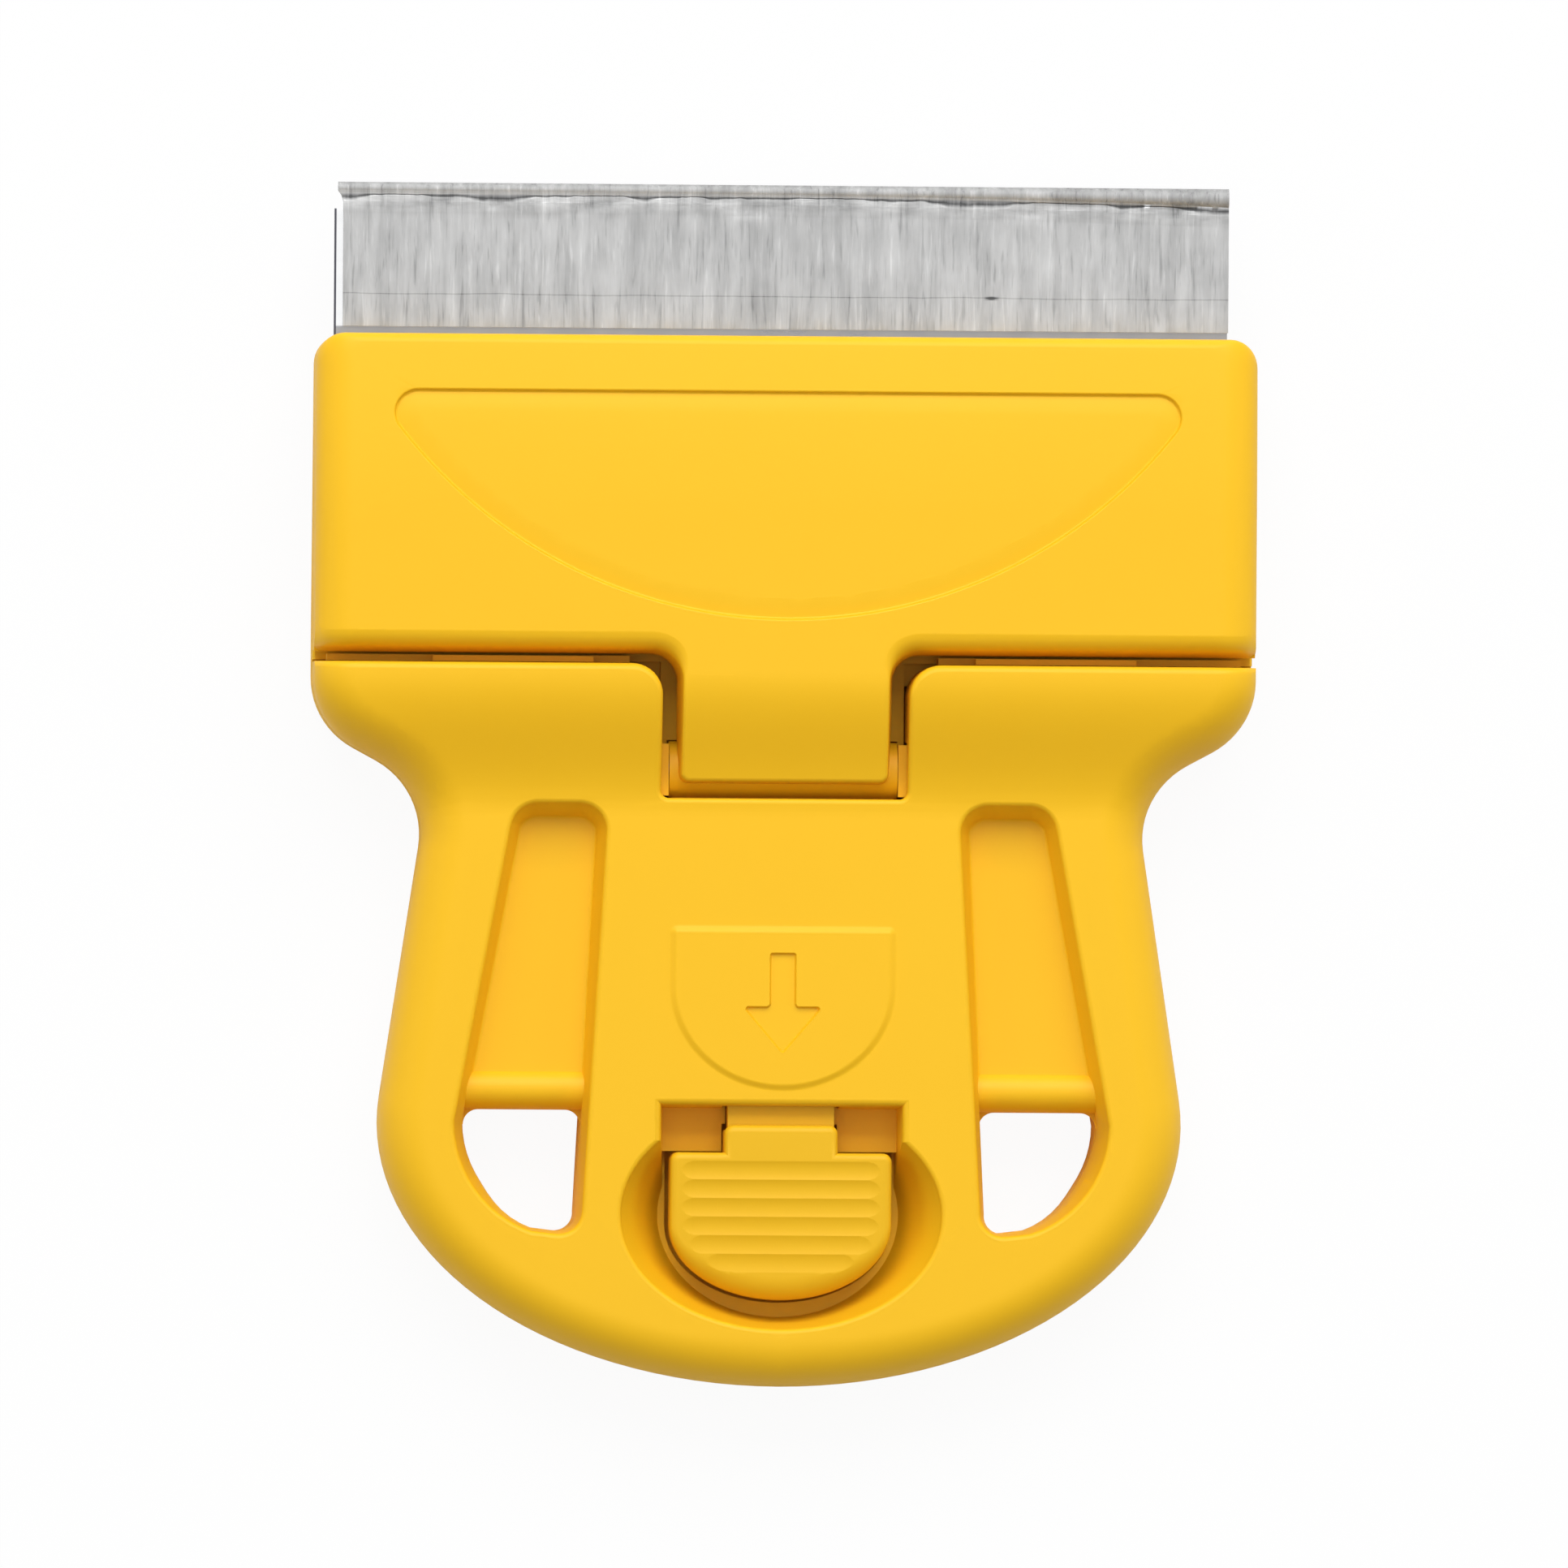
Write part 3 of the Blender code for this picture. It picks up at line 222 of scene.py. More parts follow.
# Well and finger scoop
WELL_HALF = 13.5 * MM
WELL_TOP_Y = 31.5 * MM
WELL_END_Y = 7.6 * MM
WELL_WALL = 1.8 * MM
WELL_RIM = 0.8 * MM
WELL_DRAFT = 0.5 * MM
SHELF_Z = 6.0 * MM
NECK_SHELF_Z = 8.5 * MM
SHELF_GAP = 0.12 * MM
SHELF_DRAFT = 0.7 * MM
SCOOP_Y = 19.2 * MM
SCOOP_HALF_WIDTH = 17.9 * MM
SCOOP_HALF_LENGTH = 12.7 * MM
SCOOP_DEPTH = 9.5 * MM
SCOOP_RIM = 0.6 * MM

# Side windows, the right one
WINDOW_TOP_Y = 65.1 * MM
WINDOW_INNER_TOP_X = 19.7 * MM
WINDOW_INNER_LOW_X = 22.5 * MM
WINDOW_OUTER_TOP_X = 30.0 * MM
WINDOW_OUTER_LOW_X = 36.6 * MM
WINDOW_ROUND_Y = 29.5 * MM
WINDOW_LOW_Y = 16.7 * MM
WINDOW_CORNER = 3.0 * MM
WINDOW_LOW_CORNER = 2.6 * MM
WINDOW_ARC_START = -72.0
WINDOW_DEPTH = 4.0 * MM
WINDOW_DRAFT = 0.9 * MM
WINDOW_TOP_DRAFT = 1.3 * MM
WINDOW_FLOOR_EDGE = 0.5 * MM
WINDOW_RIM = 0.6 * MM
HOLE_DRAFT = 1.1 * MM
HOLE_LOW_DRAFT = 0.3 * MM
HOLE_INNER_DRAFT = 0.8 * MM
HOLE_CORNER = 1.7 * MM
HOLE_MEETS = 0.9
WINDOW_WALL = 1.8 * MM
BAR_Y = 33.25 * MM
BAR_HALF = 2.4 * MM
BAR_HEIGHT = 2.9 * MM
BAR_Z = 9.2 * MM
HOLE_TOP_Y = BAR_Y - BAR_HALF
REAR_HOLE_TOP_Y = HOLE_TOP_Y + 0.4 * MM

# Raised shield on the bridge, and the arrow sunk into it
SHIELD_HALF = 12.3 * MM
SHIELD_TOP_Y = 51.2 * MM
SHIELD_ROUND_Y = 44.8 * MM
SHIELD_LOW_Y = 33.5 * MM
SHIELD_CORNER = 0.5 * MM
SHIELD_RAISE = 0.35 * MM
SHIELD_EDGE = 0.45 * MM
ARROW_DEPTH = 0.45 * MM
ARROW_DRAFT = 0.2 * MM
ARROW_TOP_Y = 48.6 * MM
ARROW_TIP_Y = 37.2 * MM
ARROW_HEAD_Y = 42.6 * MM
ARROW_STEM_HALF = 1.5 * MM
ARROW_HEAD_HALF = 4.6 * MM
ARROW_CORNER = 0.35 * MM

# Angles from which an edge stays crisp, in degrees
CREASE = 35.0
COVER_CREASE = 20.0
GUARD_CREASE = 50.0

# Closing spring and shell screws
SPRING_RADIUS = 4.3 * MM
SPRING_WIRE = 0.7 * MM
SPRING_Y = 16.0 * MM
SPRING_POCKET_GAP = 0.7 * MM
SPRING_POCKET_TOP = 12.0 * MM
SPRING_POST_HEIGHT = 1.4 * MM
SPRING_LOW_Z = 2.5 * MM
SPRING_HIGH_Z = 11.7 * MM
SPRING_TURNS = 5
SPRING_STEPS = 32
SCREW_RADIUS = 1.3 * MM
SCREW_HEAD_RADIUS = 2.5 * MM
SCREW_HEAD_HEIGHT = 1.6 * MM
SCREW_SINK = 0.5 * MM
SCREW_TIP_Z = 11.5 * MM
SCREW_EDGE = GAP
SCREW_EDGE_BEND = SCREW_EDGE / 3
SCREW_SLOT = 0.7 * MM
SCREW_SLOT_LENGTH = 3.4 * MM
BOSS_RADIUS = 3.2 * MM
HEAD_SCREW = (36.0 * MM, 73.4 * MM)
END_SCREW = (21.0 * MM, 10.2 * MM)
SCREW_PLACES = [(side * x, y) for side in SIDES for x, y in (HEAD_SCREW, END_SCREW)]

# Blade and its folded guard
BLADE_HALF = 50.1 * MM
BLADE_X = -0.5 * MM
BLADE_Z = 9.35 * MM
BLADE_HALF_THICKNESS = 0.2 * MM
BLADE_EDGE_Y = 131.6 * MM
BLADE_BACK_Y = 106.6 * MM
BLADE_BEVEL = 1.4 * MM
BLADE_SHARP = 0.04 * MM
GUARD_X = 0.05 * MM
GUARD_HALF = 49.65 * MM
GUARD_START_Y = 118.45 * MM
GUARD_TOP_Y = 134.6 * MM
GUARD_INNER = BLADE_HALF_THICKNESS + SHEET_GAP
GUARD_SHEET = 0.3 * MM
GUARD_BEAD_RADIUS = 0.70 * MM
GUARD_END_BEAD_RADIUS = 1.15 * MM
GUARD_BEAD_PAST = 0.6 * MM
BEAD_EVEN_SHARE = 0.12
BEAD_LOOSENS = 4
BEAD_FOOT = 1.6
GUARD_LIP = 1.0 * MM
GUARD_SLICES = 300
FLANGE_STEPS = 24
BEAD_STEPS = 24

# Crinkles of the thin sheet: fineness across and along, a place of their own in the noise, and depth
FINE_CRINKLE = (1400.0, 110.0, 3.0, 0.030 * MM)
BROAD_CRINKLE = (350.0, 60.0, 7.0, 0.035 * MM)
BEAD_FOLDS = [(260.0, 900.0, 11.0, 0.12 * MM), (90.0, 0.0, 19.0, 0.12 * MM)]
FOLD_Y = GUARD_TOP_Y - 2.6 * MM
FOLD_HALF = 1.6 * MM


# Outlines, as lists of x and y points running counter-clockwise

def arc(centre_x, centre_y, radius_x, radius_y, start, end, turn=ROUND_TURN):
    """Points along an ellipse, from one angle to another."""
    steps = math.ceil(abs(end - start) / turn)
    points = []
    for step in range(steps + 1):
        angle = math.radians(start + (end - start) * step / steps)
        points.append((centre_x + radius_x * math.cos(angle), centre_y + radius_y * math.sin(angle)))
    return points


def mirrored(points):
    return [(-x, y) for x, y in reversed(points)]


def spread(side, near, far):
    """The left and right ends of a stretch beside the middle, on the right side or on the left."""
    return sorted((side * near, side * far))


def filleted(corners):
    """An outline from corners given as x, y and corner radius."""
    points = []
    count = len(corners)
    for index, (x, y, radius) in enumerate(corners):
        here = Vector((x, y))
        if radius <= 0:
            points.append((x, y))
            continue
        to_before = (Vector(corners[index - 1][:2]) - here).normalized()
        to_after = (Vector(corners[(index + 1) % count][:2]) - here).normalized()
        half_angle = to_before.angle(to_after) / 2
        centre = here + (to_before + to_after).normalized() * (radius / math.sin(half_angle))
        start = here + to_before * (radius / math.tan(half_angle)) - centre
        turn = math.pi - 2 * half_angle
        if to_before.x * to_after.y - to_before.y * to_after.x > 0:
            turn = -turn
        steps = math.ceil(abs(math.degrees(turn)) / CORNER_TURN)
        for step in range(steps + 1):
            points.append(tuple(centre + Matrix.Rotation(turn * step / steps, 2) @ start))
    return points


def inset(points, distances):
    """The outline moved inwards by one distance, or by one for each point."""
    if not isinstance(distances, list):
        distances = [distances] * len(points)
    moved = []
    for index, distance in enumerate(distances):
        before = Vector(points[index - 1])
        here = Vector(points[index])
        after = Vector(points[(index + 1) % len(points)])
        first = (here - before).normalized()
        second = (after - here).normalized()
        across = Vector((-first.y, first.x))
        inward = (across + Vector((-second.y, second.x))).normalized()
        moved.append(tuple(here + inward * (distance / inward.dot(across))))
    return moved


def clipped(share):
    return min(max(share, 0.0), 1.0)


def smooth(share):
    share = clipped(share)
    return share * share * (3 - 2 * share)


def mix(first, second, share):
    return first + (second - first) * share


def body_outline():
    """The whole plan outline: rounded end, waist, flared shoulders and head."""
    end = HANDLE_END_LENGTH
    waist = Vector((WAIST_HALF, WAIST_Y))
    wide = waist.x / HANDLE_HALF
    high = (waist.y - end) / end
    leave = math.atan2(high, wide) - math.acos(1 / math.hypot(wide, high))
    right = arc(0, end, HANDLE_HALF, end, -90, math.degrees(leave), FINE_TURN)
    side = (waist - Vector(right[-1])).normalized()
    lean = math.atan2(side.y, side.x)
    outside = waist + Vector((side.y, -side.x)) * FLARE_RADIUS
    shoulder = Vector((HEAD_HALF - SHOULDER_RADIUS, SHOULDER_Y - SHOULDER_SIDE))
    radii = FLARE_RADIUS + SHOULDER_RADIUS
    level = side.dot(shoulder - outside)
    across = (shoulder - outside - side * level).length
    flare = outside + side * (level - math.sqrt(radii ** 2 + FLARE_RUN ** 2 - across ** 2))
    between = shoulder - flare
    slope = math.degrees(math.atan2(between.y, between.x) - math.asin(radii / between.length))
    right += arc(flare.x, flare.y, FLARE_RADIUS, FLARE_RADIUS, math.degrees(lean) + 90, slope + 90)
    right += arc(shoulder.x, shoulder.y, SHOULDER_RADIUS, SHOULDER_RADIUS, slope - 90, 0)
    corner = HEAD_HALF - MOUTH_CORNER
    right += arc(corner, BODY_LENGTH - MOUTH_CORNER, MOUTH_CORNER, MOUTH_CORNER, 0, 90, CORNER_TURN)
    return right + mirrored(right)[:-1]


def window_outline():
    centre_x = WINDOW_INNER_LOW_X + WINDOW_CORNER / 2
    round_x = WINDOW_OUTER_LOW_X - centre_x
    round_y = WINDOW_ROUND_Y - WINDOW_LOW_Y
    corners = [(WINDOW_INNER_TOP_X, WINDOW_TOP_Y, WINDOW_CORNER)]
    corners.append((WINDOW_INNER_LOW_X, WINDOW_LOW_Y, WINDOW_LOW_CORNER))
    for x, y in arc(centre_x, WINDOW_ROUND_Y, round_x, round_y, WINDOW_ARC_START, 0):
        corners.append((x, y, 0))
    corners.append((WINDOW_OUTER_TOP_X, WINDOW_TOP_Y, WINDOW_CORNER))
    return filleted(corners)


def window_outlines():
    return [window_outline(), mirrored(window_outline())]


def bowl(half, round_y, low_y):
    """The lower half of an ellipse, from its left end to its right end."""
    return arc(0, round_y, half, round_y - low_y, 180, 360, FINE_TURN)


def cup_outline(half, round_y, low_y, top_y, corner):
    """A rounded bottom with straight sides, up to two rounded corners."""
    corners = [(x, y, 0) for x, y in bowl(half, round_y, low_y)]
    return filleted(corners + [(half, top_y, corner), (-half, top_y, corner)])


def well_outline():
    return bowl(WELL_HALF, SCOOP_Y, WELL_END_Y) + [(WELL_HALF, WELL_TOP_Y), (-WELL_HALF, WELL_TOP_Y)]


def scoop_outline(half_width, half_length):
    return arc(0, SCOOP_Y, half_width, half_length, 0, 360, FINE_TURN)[:-1]


def button_outline():
    return cup_outline(BUTTON_HALF, BUTTON_ROUND_Y, BUTTON_END_Y, BUTTON_TOP_Y, BUTTON_CORNER)


def neck_outline():
    low = BUTTON_TOP_Y - 2 * BUTTON_CORNER
    corners = [(-NECK_HALF, low, 0), (NECK_HALF, low, 0)]
    corners += [(NECK_HALF, NECK_TOP_Y, BUTTON_CORNER), (-NECK_HALF, NECK_TOP_Y, BUTTON_CORNER)]
    return filleted(corners)


def shield_outline():
    return cup_outline(SHIELD_HALF, SHIELD_ROUND_Y, SHIELD_LOW_Y, SHIELD_TOP_Y, SHIELD_CORNER)


def arrow_outline():
    right = [(0, ARROW_TIP_Y), (ARROW_HEAD_HALF, ARROW_HEAD_Y), (ARROW_STEM_HALF, ARROW_HEAD_Y)]
    right.append((ARROW_STEM_HALF, ARROW_TOP_Y))
    return filleted([(x, y, ARROW_CORNER) for x, y in right + mirrored(right)[:-1]])


def crescent_outline():
    centre_y = CRESCENT_LOW_Y + CRESCENT_RADIUS
    corner_y = CRESCENT_TOP_Y - CRESCENT_CORNER
    below = corner_y - centre_y
    corner_x = math.sqrt((CRESCENT_RADIUS - CRESCENT_CORNER) ** 2 - below ** 2)
    angle = math.degrees(math.atan2(below, corner_x))
    right = arc(0, centre_y, CRESCENT_RADIUS, CRESCENT_RADIUS, -90, angle, FINE_TURN / 2)
    right += arc(corner_x, corner_y, CRESCENT_CORNER, CRESCENT_CORNER, angle, 90)[1:]
    return right + mirrored(right)[:-1]


def slot_corners(half, low_y, edge_y, corner, blend):
    """The left and right sides of a slot that opens upwards into a straight edge, from left to right."""
    return [(-half, edge_y, blend), (-half, low_y, corner), (half, low_y, corner), (half, edge_y, blend)]


def edge_across(y, slot):
    """Corners from left to right along an edge across the tool, close together where the sides are round."""
    first = HEAD_HALF - HEAD_EDGE_REACH
    places = [first + (HEAD_EDGE_REACH + MARGIN) * step / EDGE_STEPS for step in range(EDGE_STEPS + 1)]
    left = [(-x, y, 0) for x in reversed(places)]
    return left + slot + [(x, y, 0) for x in places] + [(FAR, y, 0)]


def past_shoulder_outline():
    """All that lies past the handle's shoulders, with the notch for the jaw's tongue."""
    slot = slot_corners(NOTCH_HALF, NOTCH_Y, SHOULDER_Y, NOTCH_CORNER, TONGUE_BLEND)
    return filleted(edge_across(SHOULDER_Y, slot) + [(FAR, FAR, 0), (-FAR, FAR, 0), (-FAR, SHOULDER_Y, 0)])


def below_jaw_outline():
    """All that lies below the jaw's edge, but for its tongue."""
    slot = slot_corners(TONGUE_HALF, TONGUE_END_Y, JAW_LOW_Y, NOTCH_CORNER, TONGUE_BLEND)
    along = edge_across(JAW_LOW_Y, slot)
    return filleted([(-FAR, -FAR, 0), (FAR, -FAR, 0)] + along[::-1] + [(-FAR, JAW_LOW_Y, 0)])


# Tools of the bench

def pick(*pieces):
    """Selects these pieces alone. The first becomes the active one."""
    bpy.ops.object.select_all(action="DESELECT")
    for piece in pieces:
        piece.select_set(True)
    bpy.context.view_layer.objects.active = pieces[0]


def edit_all(piece):
    """Picks a piece and opens it for editing, with all of it selected."""
    pick(piece)
    bpy.ops.object.mode_set(mode="EDIT")
    bpy.ops.mesh.select_all(action="SELECT")


def stop_editing():
    bpy.ops.object.mode_set(mode="OBJECT")


def settled(name):
    """Names the piece just made, and applies its place, turn and size."""
    made = bpy.context.object
    made.name = name
    bpy.ops.object.transform_apply(location=True, rotation=True, scale=True)
    return made


def drawn(name, rings):
    """A closed solid: a flat outline is drawn as the first ring, then extruded from ring to ring."""
    count = len(rings[0])
    bpy.ops.object.select_all(action="DESELECT")
    bpy.ops.mesh.primitive_circle_add(vertices=count, radius=MARGIN, fill_type="NGON")
    made = bpy.context.object
    made.name = name
    for vert, place in zip(made.data.vertices, rings[0]):
        vert.co = place
    edit_all(made)
    for step in range(1, len(rings)):
        bpy.ops.mesh.extrude_region_move()
        stop_editing()
        for vert, place in zip(made.data.vertices[step * count:], rings[step]):
            vert.co = place
        bpy.ops.object.mode_set(mode="EDIT")
    bpy.ops.mesh.select_all(action="SELECT")
    bpy.ops.mesh.normals_make_consistent(inside=False)
    stop_editing()
    return made


def level(points, z):
    return [(x, y, z) for x, y in points]


def plate(name, points, low, high):
    return drawn(name, [level(points, low), level(points, high)])


def side_profile(name, points, left, right):
    """A profile of y and z points, extruded from left to right."""
    return drawn(name, [[(x, y, z) for y, z in points] for x in (left, right)])


def block(name, low, high):
    bpy.ops.object.select_all(action="DESELECT")
    size = [b - a for a, b in zip(low, high)]
    bpy.ops.mesh.primitive_cube_add(size=1, location=[(a + b) / 2 for a, b in zip(low, high)], scale=size)
    return settled(name)


def rod(name, centre, radius, length, axis, sides=ROD_SIDES):
    turn = {"X": (0, math.pi / 2, 0), "Z": (0, 0, 0)}[axis]
    bpy.ops.object.select_all(action="DESELECT")
    bpy.ops.mesh.primitive_cylinder_add(
        vertices=sides, radius=radius, depth=length, location=centre, rotation=turn
    )
    return settled(name)


def upright_rod(name, x, y, radius, low, high, sides=ROD_SIDES):
    return rod(name, (x, y, (low + high) / 2), radius, high - low, "Z", sides)


def apply_modifier(body, kind, **settings):
    pick(body)
    change = body.modifiers.new("change", kind)
    for name, value in settings.items():
        setattr(change, name, value)
    bpy.ops.object.modifier_apply(modifier=change.name)


def combine(body, tools, operation):
    for tool in tools:
        apply_modifier(body, "BOOLEAN", operation=operation, solver="EXACT", object=tool)
        bpy.data.objects.remove(tool)
    return body


def cut(body, *tools):
    return combine(body, tools, "DIFFERENCE")


def join(body, *tools):
    return combine(body, tools, "UNION")


def past_y(y):
    return block("past", (-FAR, y, -FAR), (FAR, FAR, FAR))


def rounding(steps, turn=90.0):
    """How far in and how far down a rounded edge lies at each of its steps, for a radius of 1."""
    angles = [math.radians(turn) * step / steps for step in range(steps + 1)]
    return [(1 - math.cos(angle), 1 - math.sin(angle)) for angle in angles]


def rounded_rings(points, radii, face_z, down):
    """Rings of an edge rounded by a radius of its own at each point. It ends at the face."""
    rings = []
    for across, share in rounding(EDGE_STEPS):
        pulled = inset(points, [radius * across for radius in radii])
        rings.append([(x, y, face_z + down * radius * share) for (x, y), radius in zip(pulled, radii)])
    return rings


def rim_rings(points, rims, face_z, drops=None):
    """Rings of a cutter that widens like a rounded rim where it leaves the face."""
    drops = drops or [0.0] * len(points)
    if not isinstance(rims, list):
        rims = [rims] * len(points)
    places = [(across, -down) for across, down in rounding(RIM_STEPS, RIM_TURN)]
    wide, low = places[-1]
    places.append((wide + (RIM_PAST - low) * math.tan(math.radians(RIM_TURN)), RIM_PAST))
    rings = []
    for reach, rise in places:
        moved = inset(points, [-reach * rim for rim in rims])
        rings.append([(x, y, face_z + rise * rim - drop) for (x, y), rim, drop in zip(moved, rims, drops)])
    rings.append([(x, y, face_z + HEAD_STEP) for x, y, _ in rings[-1]])
    return rings


def floor_rings(points, drafts, corner, floor_z):
    """Rings of a cutter's rounded lower edge, with one draft for each point."""
    rings = []
    for rise, across in rounding(RIM_STEPS):
        pulled = inset(points, [draft + corner * across for draft in drafts])
        rings.append(level(pulled, floor_z + corner * rise))
    return rings


def slice_along(body, places):
    """Edge loops across the mesh at each y place, so that it can bend there."""
    edit_all(body)
    for y in places:
        bpy.ops.mesh.select_all(action="SELECT")
        bpy.ops.mesh.bisect(plane_co=(0, y, 0), plane_no=(0, 1, 0), threshold=TINY)
    stop_editing()


def in_triangles(body):
    edit_all(body)
    bpy.ops.mesh.quads_convert_to_tris()
    stop_editing()
    return body


def front_rise(y):
    step = smooth((y - STEP_START_Y) / (STEP_END_Y - STEP_START_Y))
    past = max(0.0, y - (BODY_LENGTH - MOUTH_DROP_LENGTH)) / MOUTH_DROP_LENGTH
    return HEAD_STEP * step - MOUTH_DROP * past * past


def raise_front(body):
    """Lifts the upper part to the face's height: the step at the shoulders and the fall to the mouth."""
    run = STEP_END_Y - STEP_START_Y
    places = [STEP_START_Y + run * index / STEP_SLICES for index in range(STEP_SLICES + 1)]
    places += [BODY_LENGTH - MOUTH_DROP_LENGTH * (1 - index / DROP_SLICES) for index in range(DROP_SLICES)]
    slice_along(body, places)
    for vert in body.data.vertices:
        share = (vert.co.z - STRETCH_LOW_Z) / (STRETCH_HIGH_Z - STRETCH_LOW_Z)
        vert.co.z += front_rise(vert.co.y) * clipped(share)
    return in_triangles(body)


def clean(body):
    """Merges doubles, dissolves slivers and turns the faces outwards."""
    edit_all(body)
    bpy.ops.mesh.remove_doubles(threshold=TINY)
    bpy.ops.mesh.dissolve_degenerate(threshold=TINY)
    bpy.ops.mesh.select_all(action="SELECT")
    bpy.ops.mesh.normals_make_consistent(inside=False)
    stop_editing()


# The moulded forms

def towards_head(y):
    """Rises from 0 at the waist to 1 at the shoulders."""
    return smooth((y - WAIST_Y) / (SHOULDER_Y - WAIST_Y))


def edge_sizes(y):
    along = towards_head(y)
    return mix(HANDLE_EDGE_REACH, HEAD_EDGE_REACH, along), mix(HANDLE_EDGE_DROP, HEAD_EDGE_DROP, along)


def front_form(name):
    """The whole front of the tool with its rounded edge, before the face is raised."""
    outer = body_outline()
    sizes = [edge_sizes(y) for _, y in outer]
    inner = inset(outer, [reach for reach, _ in sizes])
    drops = [drop for _, drop in sizes]
    corner_x = HEAD_HALF - MOUTH_CORNER
    corner_y = BODY_LENGTH - MOUTH_CORNER
    for index, (x, y) in enumerate(outer):
        if y < corner_y - TINY or abs(x) < corner_x - TINY:
            continue
        angle = math.atan2(y - corner_y, abs(x) - corner_x)
        inner_x = HEAD_HALF - HEAD_EDGE_REACH - MOUTH_INNER_CORNER * (1 - math.cos(angle))
        inner_y = BODY_LENGTH - MOUTH_EDGE - MOUTH_INNER_CORNER * (1 - math.sin(angle))
        inner[index] = (math.copysign(inner_x, x), inner_y)
        drops[index] = mix(HEAD_EDGE_DROP, MOUTH_EDGE, smooth(angle / (math.pi / 2)))
    low = STRETCH_LOW_Z
    rings = [level(inset(outer, PARTING_EDGE), low), level(outer, low + PARTING_EDGE)]
    for share, down in rounding(EDGE_STEPS):
        rings.append([
            (mix(a[0], b[0], share), mix(a[1], b[1], share), HANDLE_HEIGHT - drop * down)
            for a, b, drop in zip(outer, inner, drops)
        ])
    return drawn(name, rings)


def side_drops(points):
    """How far the rounded side has fallen below the face at each point of an edge across the tool."""
    start = HEAD_HALF - HEAD_EDGE_REACH
    drops = []
    for x, _ in points:
        share = clipped((abs(x) - start) / HEAD_EDGE_REACH)
        drops.append(HEAD_EDGE_DROP * (1 - math.sqrt(1 - share * share)))
    return drops


def edge_cutter(name, points, edge_y, rim, slot_rim, draft=0.0):
    """A cutter with a region's outline. Its rim follows the rounded sides and is finer in the slot."""
    rims = [mix(slot_rim, rim, smooth(1 - (edge_y - y) / TONGUE_BLEND)) for _, y in points]
    deep = [level(inset(points, draft), 0)]
    if draft > 0:
        deep.append(level(inset(points, draft), STRETCH_HIGH_Z))
    return drawn(name, deep + rim_rings(points, rims, HANDLE_HEIGHT, side_drops(points)))


def recess_drafts(points):
    """How far a window's walls lean in at each point: most at the top, least at the low end."""
    drafts = []
    for _, y in points:
        top = smooth((y - WINDOW_TOP_Y) / WINDOW_CORNER + 1)
        low = smooth((y - WINDOW_LOW_Y) / (2 * WINDOW_CORNER))
        drafts.append(mix(HOLE_LOW_DRAFT, mix(WINDOW_DRAFT, WINDOW_TOP_DRAFT, top), low))
    return drafts


def window_recess(points):
    """A whole window down to its floor, with leaning walls and a rounded rim."""
    rings = floor_rings(points, recess_drafts(points), WINDOW_FLOOR_EDGE, HANDLE_HEIGHT - WINDOW_DEPTH)
    return drawn("recess", rings + rim_rings(points, WINDOW_RIM, HANDLE_HEIGHT))


def hole_outline(points):
    """The narrower outline of the open lower part of a window."""
    drafts = []
    for x, y in points:
        outer = smooth((abs(x) - WINDOW_INNER_LOW_X) / WINDOW_CORNER)
        side = mix(HOLE_INNER_DRAFT, HOLE_DRAFT, outer)
        drafts.append(mix(HOLE_LOW_DRAFT, side, smooth((y - WINDOW_LOW_Y) / (2 * WINDOW_CORNER))))
    return inset(points, drafts)


def window_hole(points, end_y):
    """The open lower part of a window, through both shells. It widens upwards into the recess."""
    narrow = hole_outline(points)
    wide = inset(points, [draft * HOLE_MEETS for draft in recess_drafts(points)])
    rings = [level(narrow, -MARGIN), level(narrow, PARTING_Z)]
    rings.append(level(wide, HANDLE_HEIGHT - WINDOW_DEPTH + MARGIN))
    return cut(drawn("hole", rings), past_y(end_y))


def crossings(points, level_y):
    """Where an outline crosses a line across the tool, from left to right."""
    found = []
    for (x, y), (next_x, next_y) in zip(points, points[1:] + points[:1]):
        if (y < level_y) != (next_y < level_y):
            found.append(mix(x, next_x, (level_y - y) / (next_y - y)))
    return sorted(found)


def hole_corners(points):
    """Fillings that round the two upper corners of a hole, below the cross bar."""
    near_y = HOLE_TOP_Y - HOLE_CORNER
    left, right = crossings(hole_outline(points), near_y)
    high = STRETCH_LOW_Z + MARGIN
    fillings = []
    for wall, inward in ((left, 1), (right, -1)):
        centre = (wall + inward * HOLE_CORNER, near_y, high)
        low_x, high_x = sorted((wall - inward * MARGIN, centre[0]))
        filling = block("filling", (low_x, near_y, STRETCH_LOW_Z), (high_x, HOLE_TOP_Y + MARGIN, high))
        fillings.append(cut(filling, rod("round", centre, HOLE_CORNER, HANDLE_HEIGHT, "Z")))
    return fillings


def scoop():
    """The finger scoop round the button, narrowing downwards."""
    low = scoop_outline(WELL_HALF - WELL_DRAFT / 2, SCOOP_Y - WELL_END_Y - WELL_DRAFT / 2)
    high = scoop_outline(SCOOP_HALF_WIDTH, SCOOP_HALF_LENGTH)
    rings = [level(low, HANDLE_HEIGHT - SCOOP_DEPTH)] + rim_rings(high, SCOOP_RIM, HANDLE_HEIGHT)
    return cut(drawn("scoop", rings), past_y(WELL_TOP_Y - GAP))


def well():
    points = well_outline()
    narrow = inset(points, WELL_DRAFT)
    rings = [level(narrow, 0), level(narrow, SHELF_Z)]
    return drawn("well", rings + rim_rings(points, WELL_RIM, HANDLE_HEIGHT))


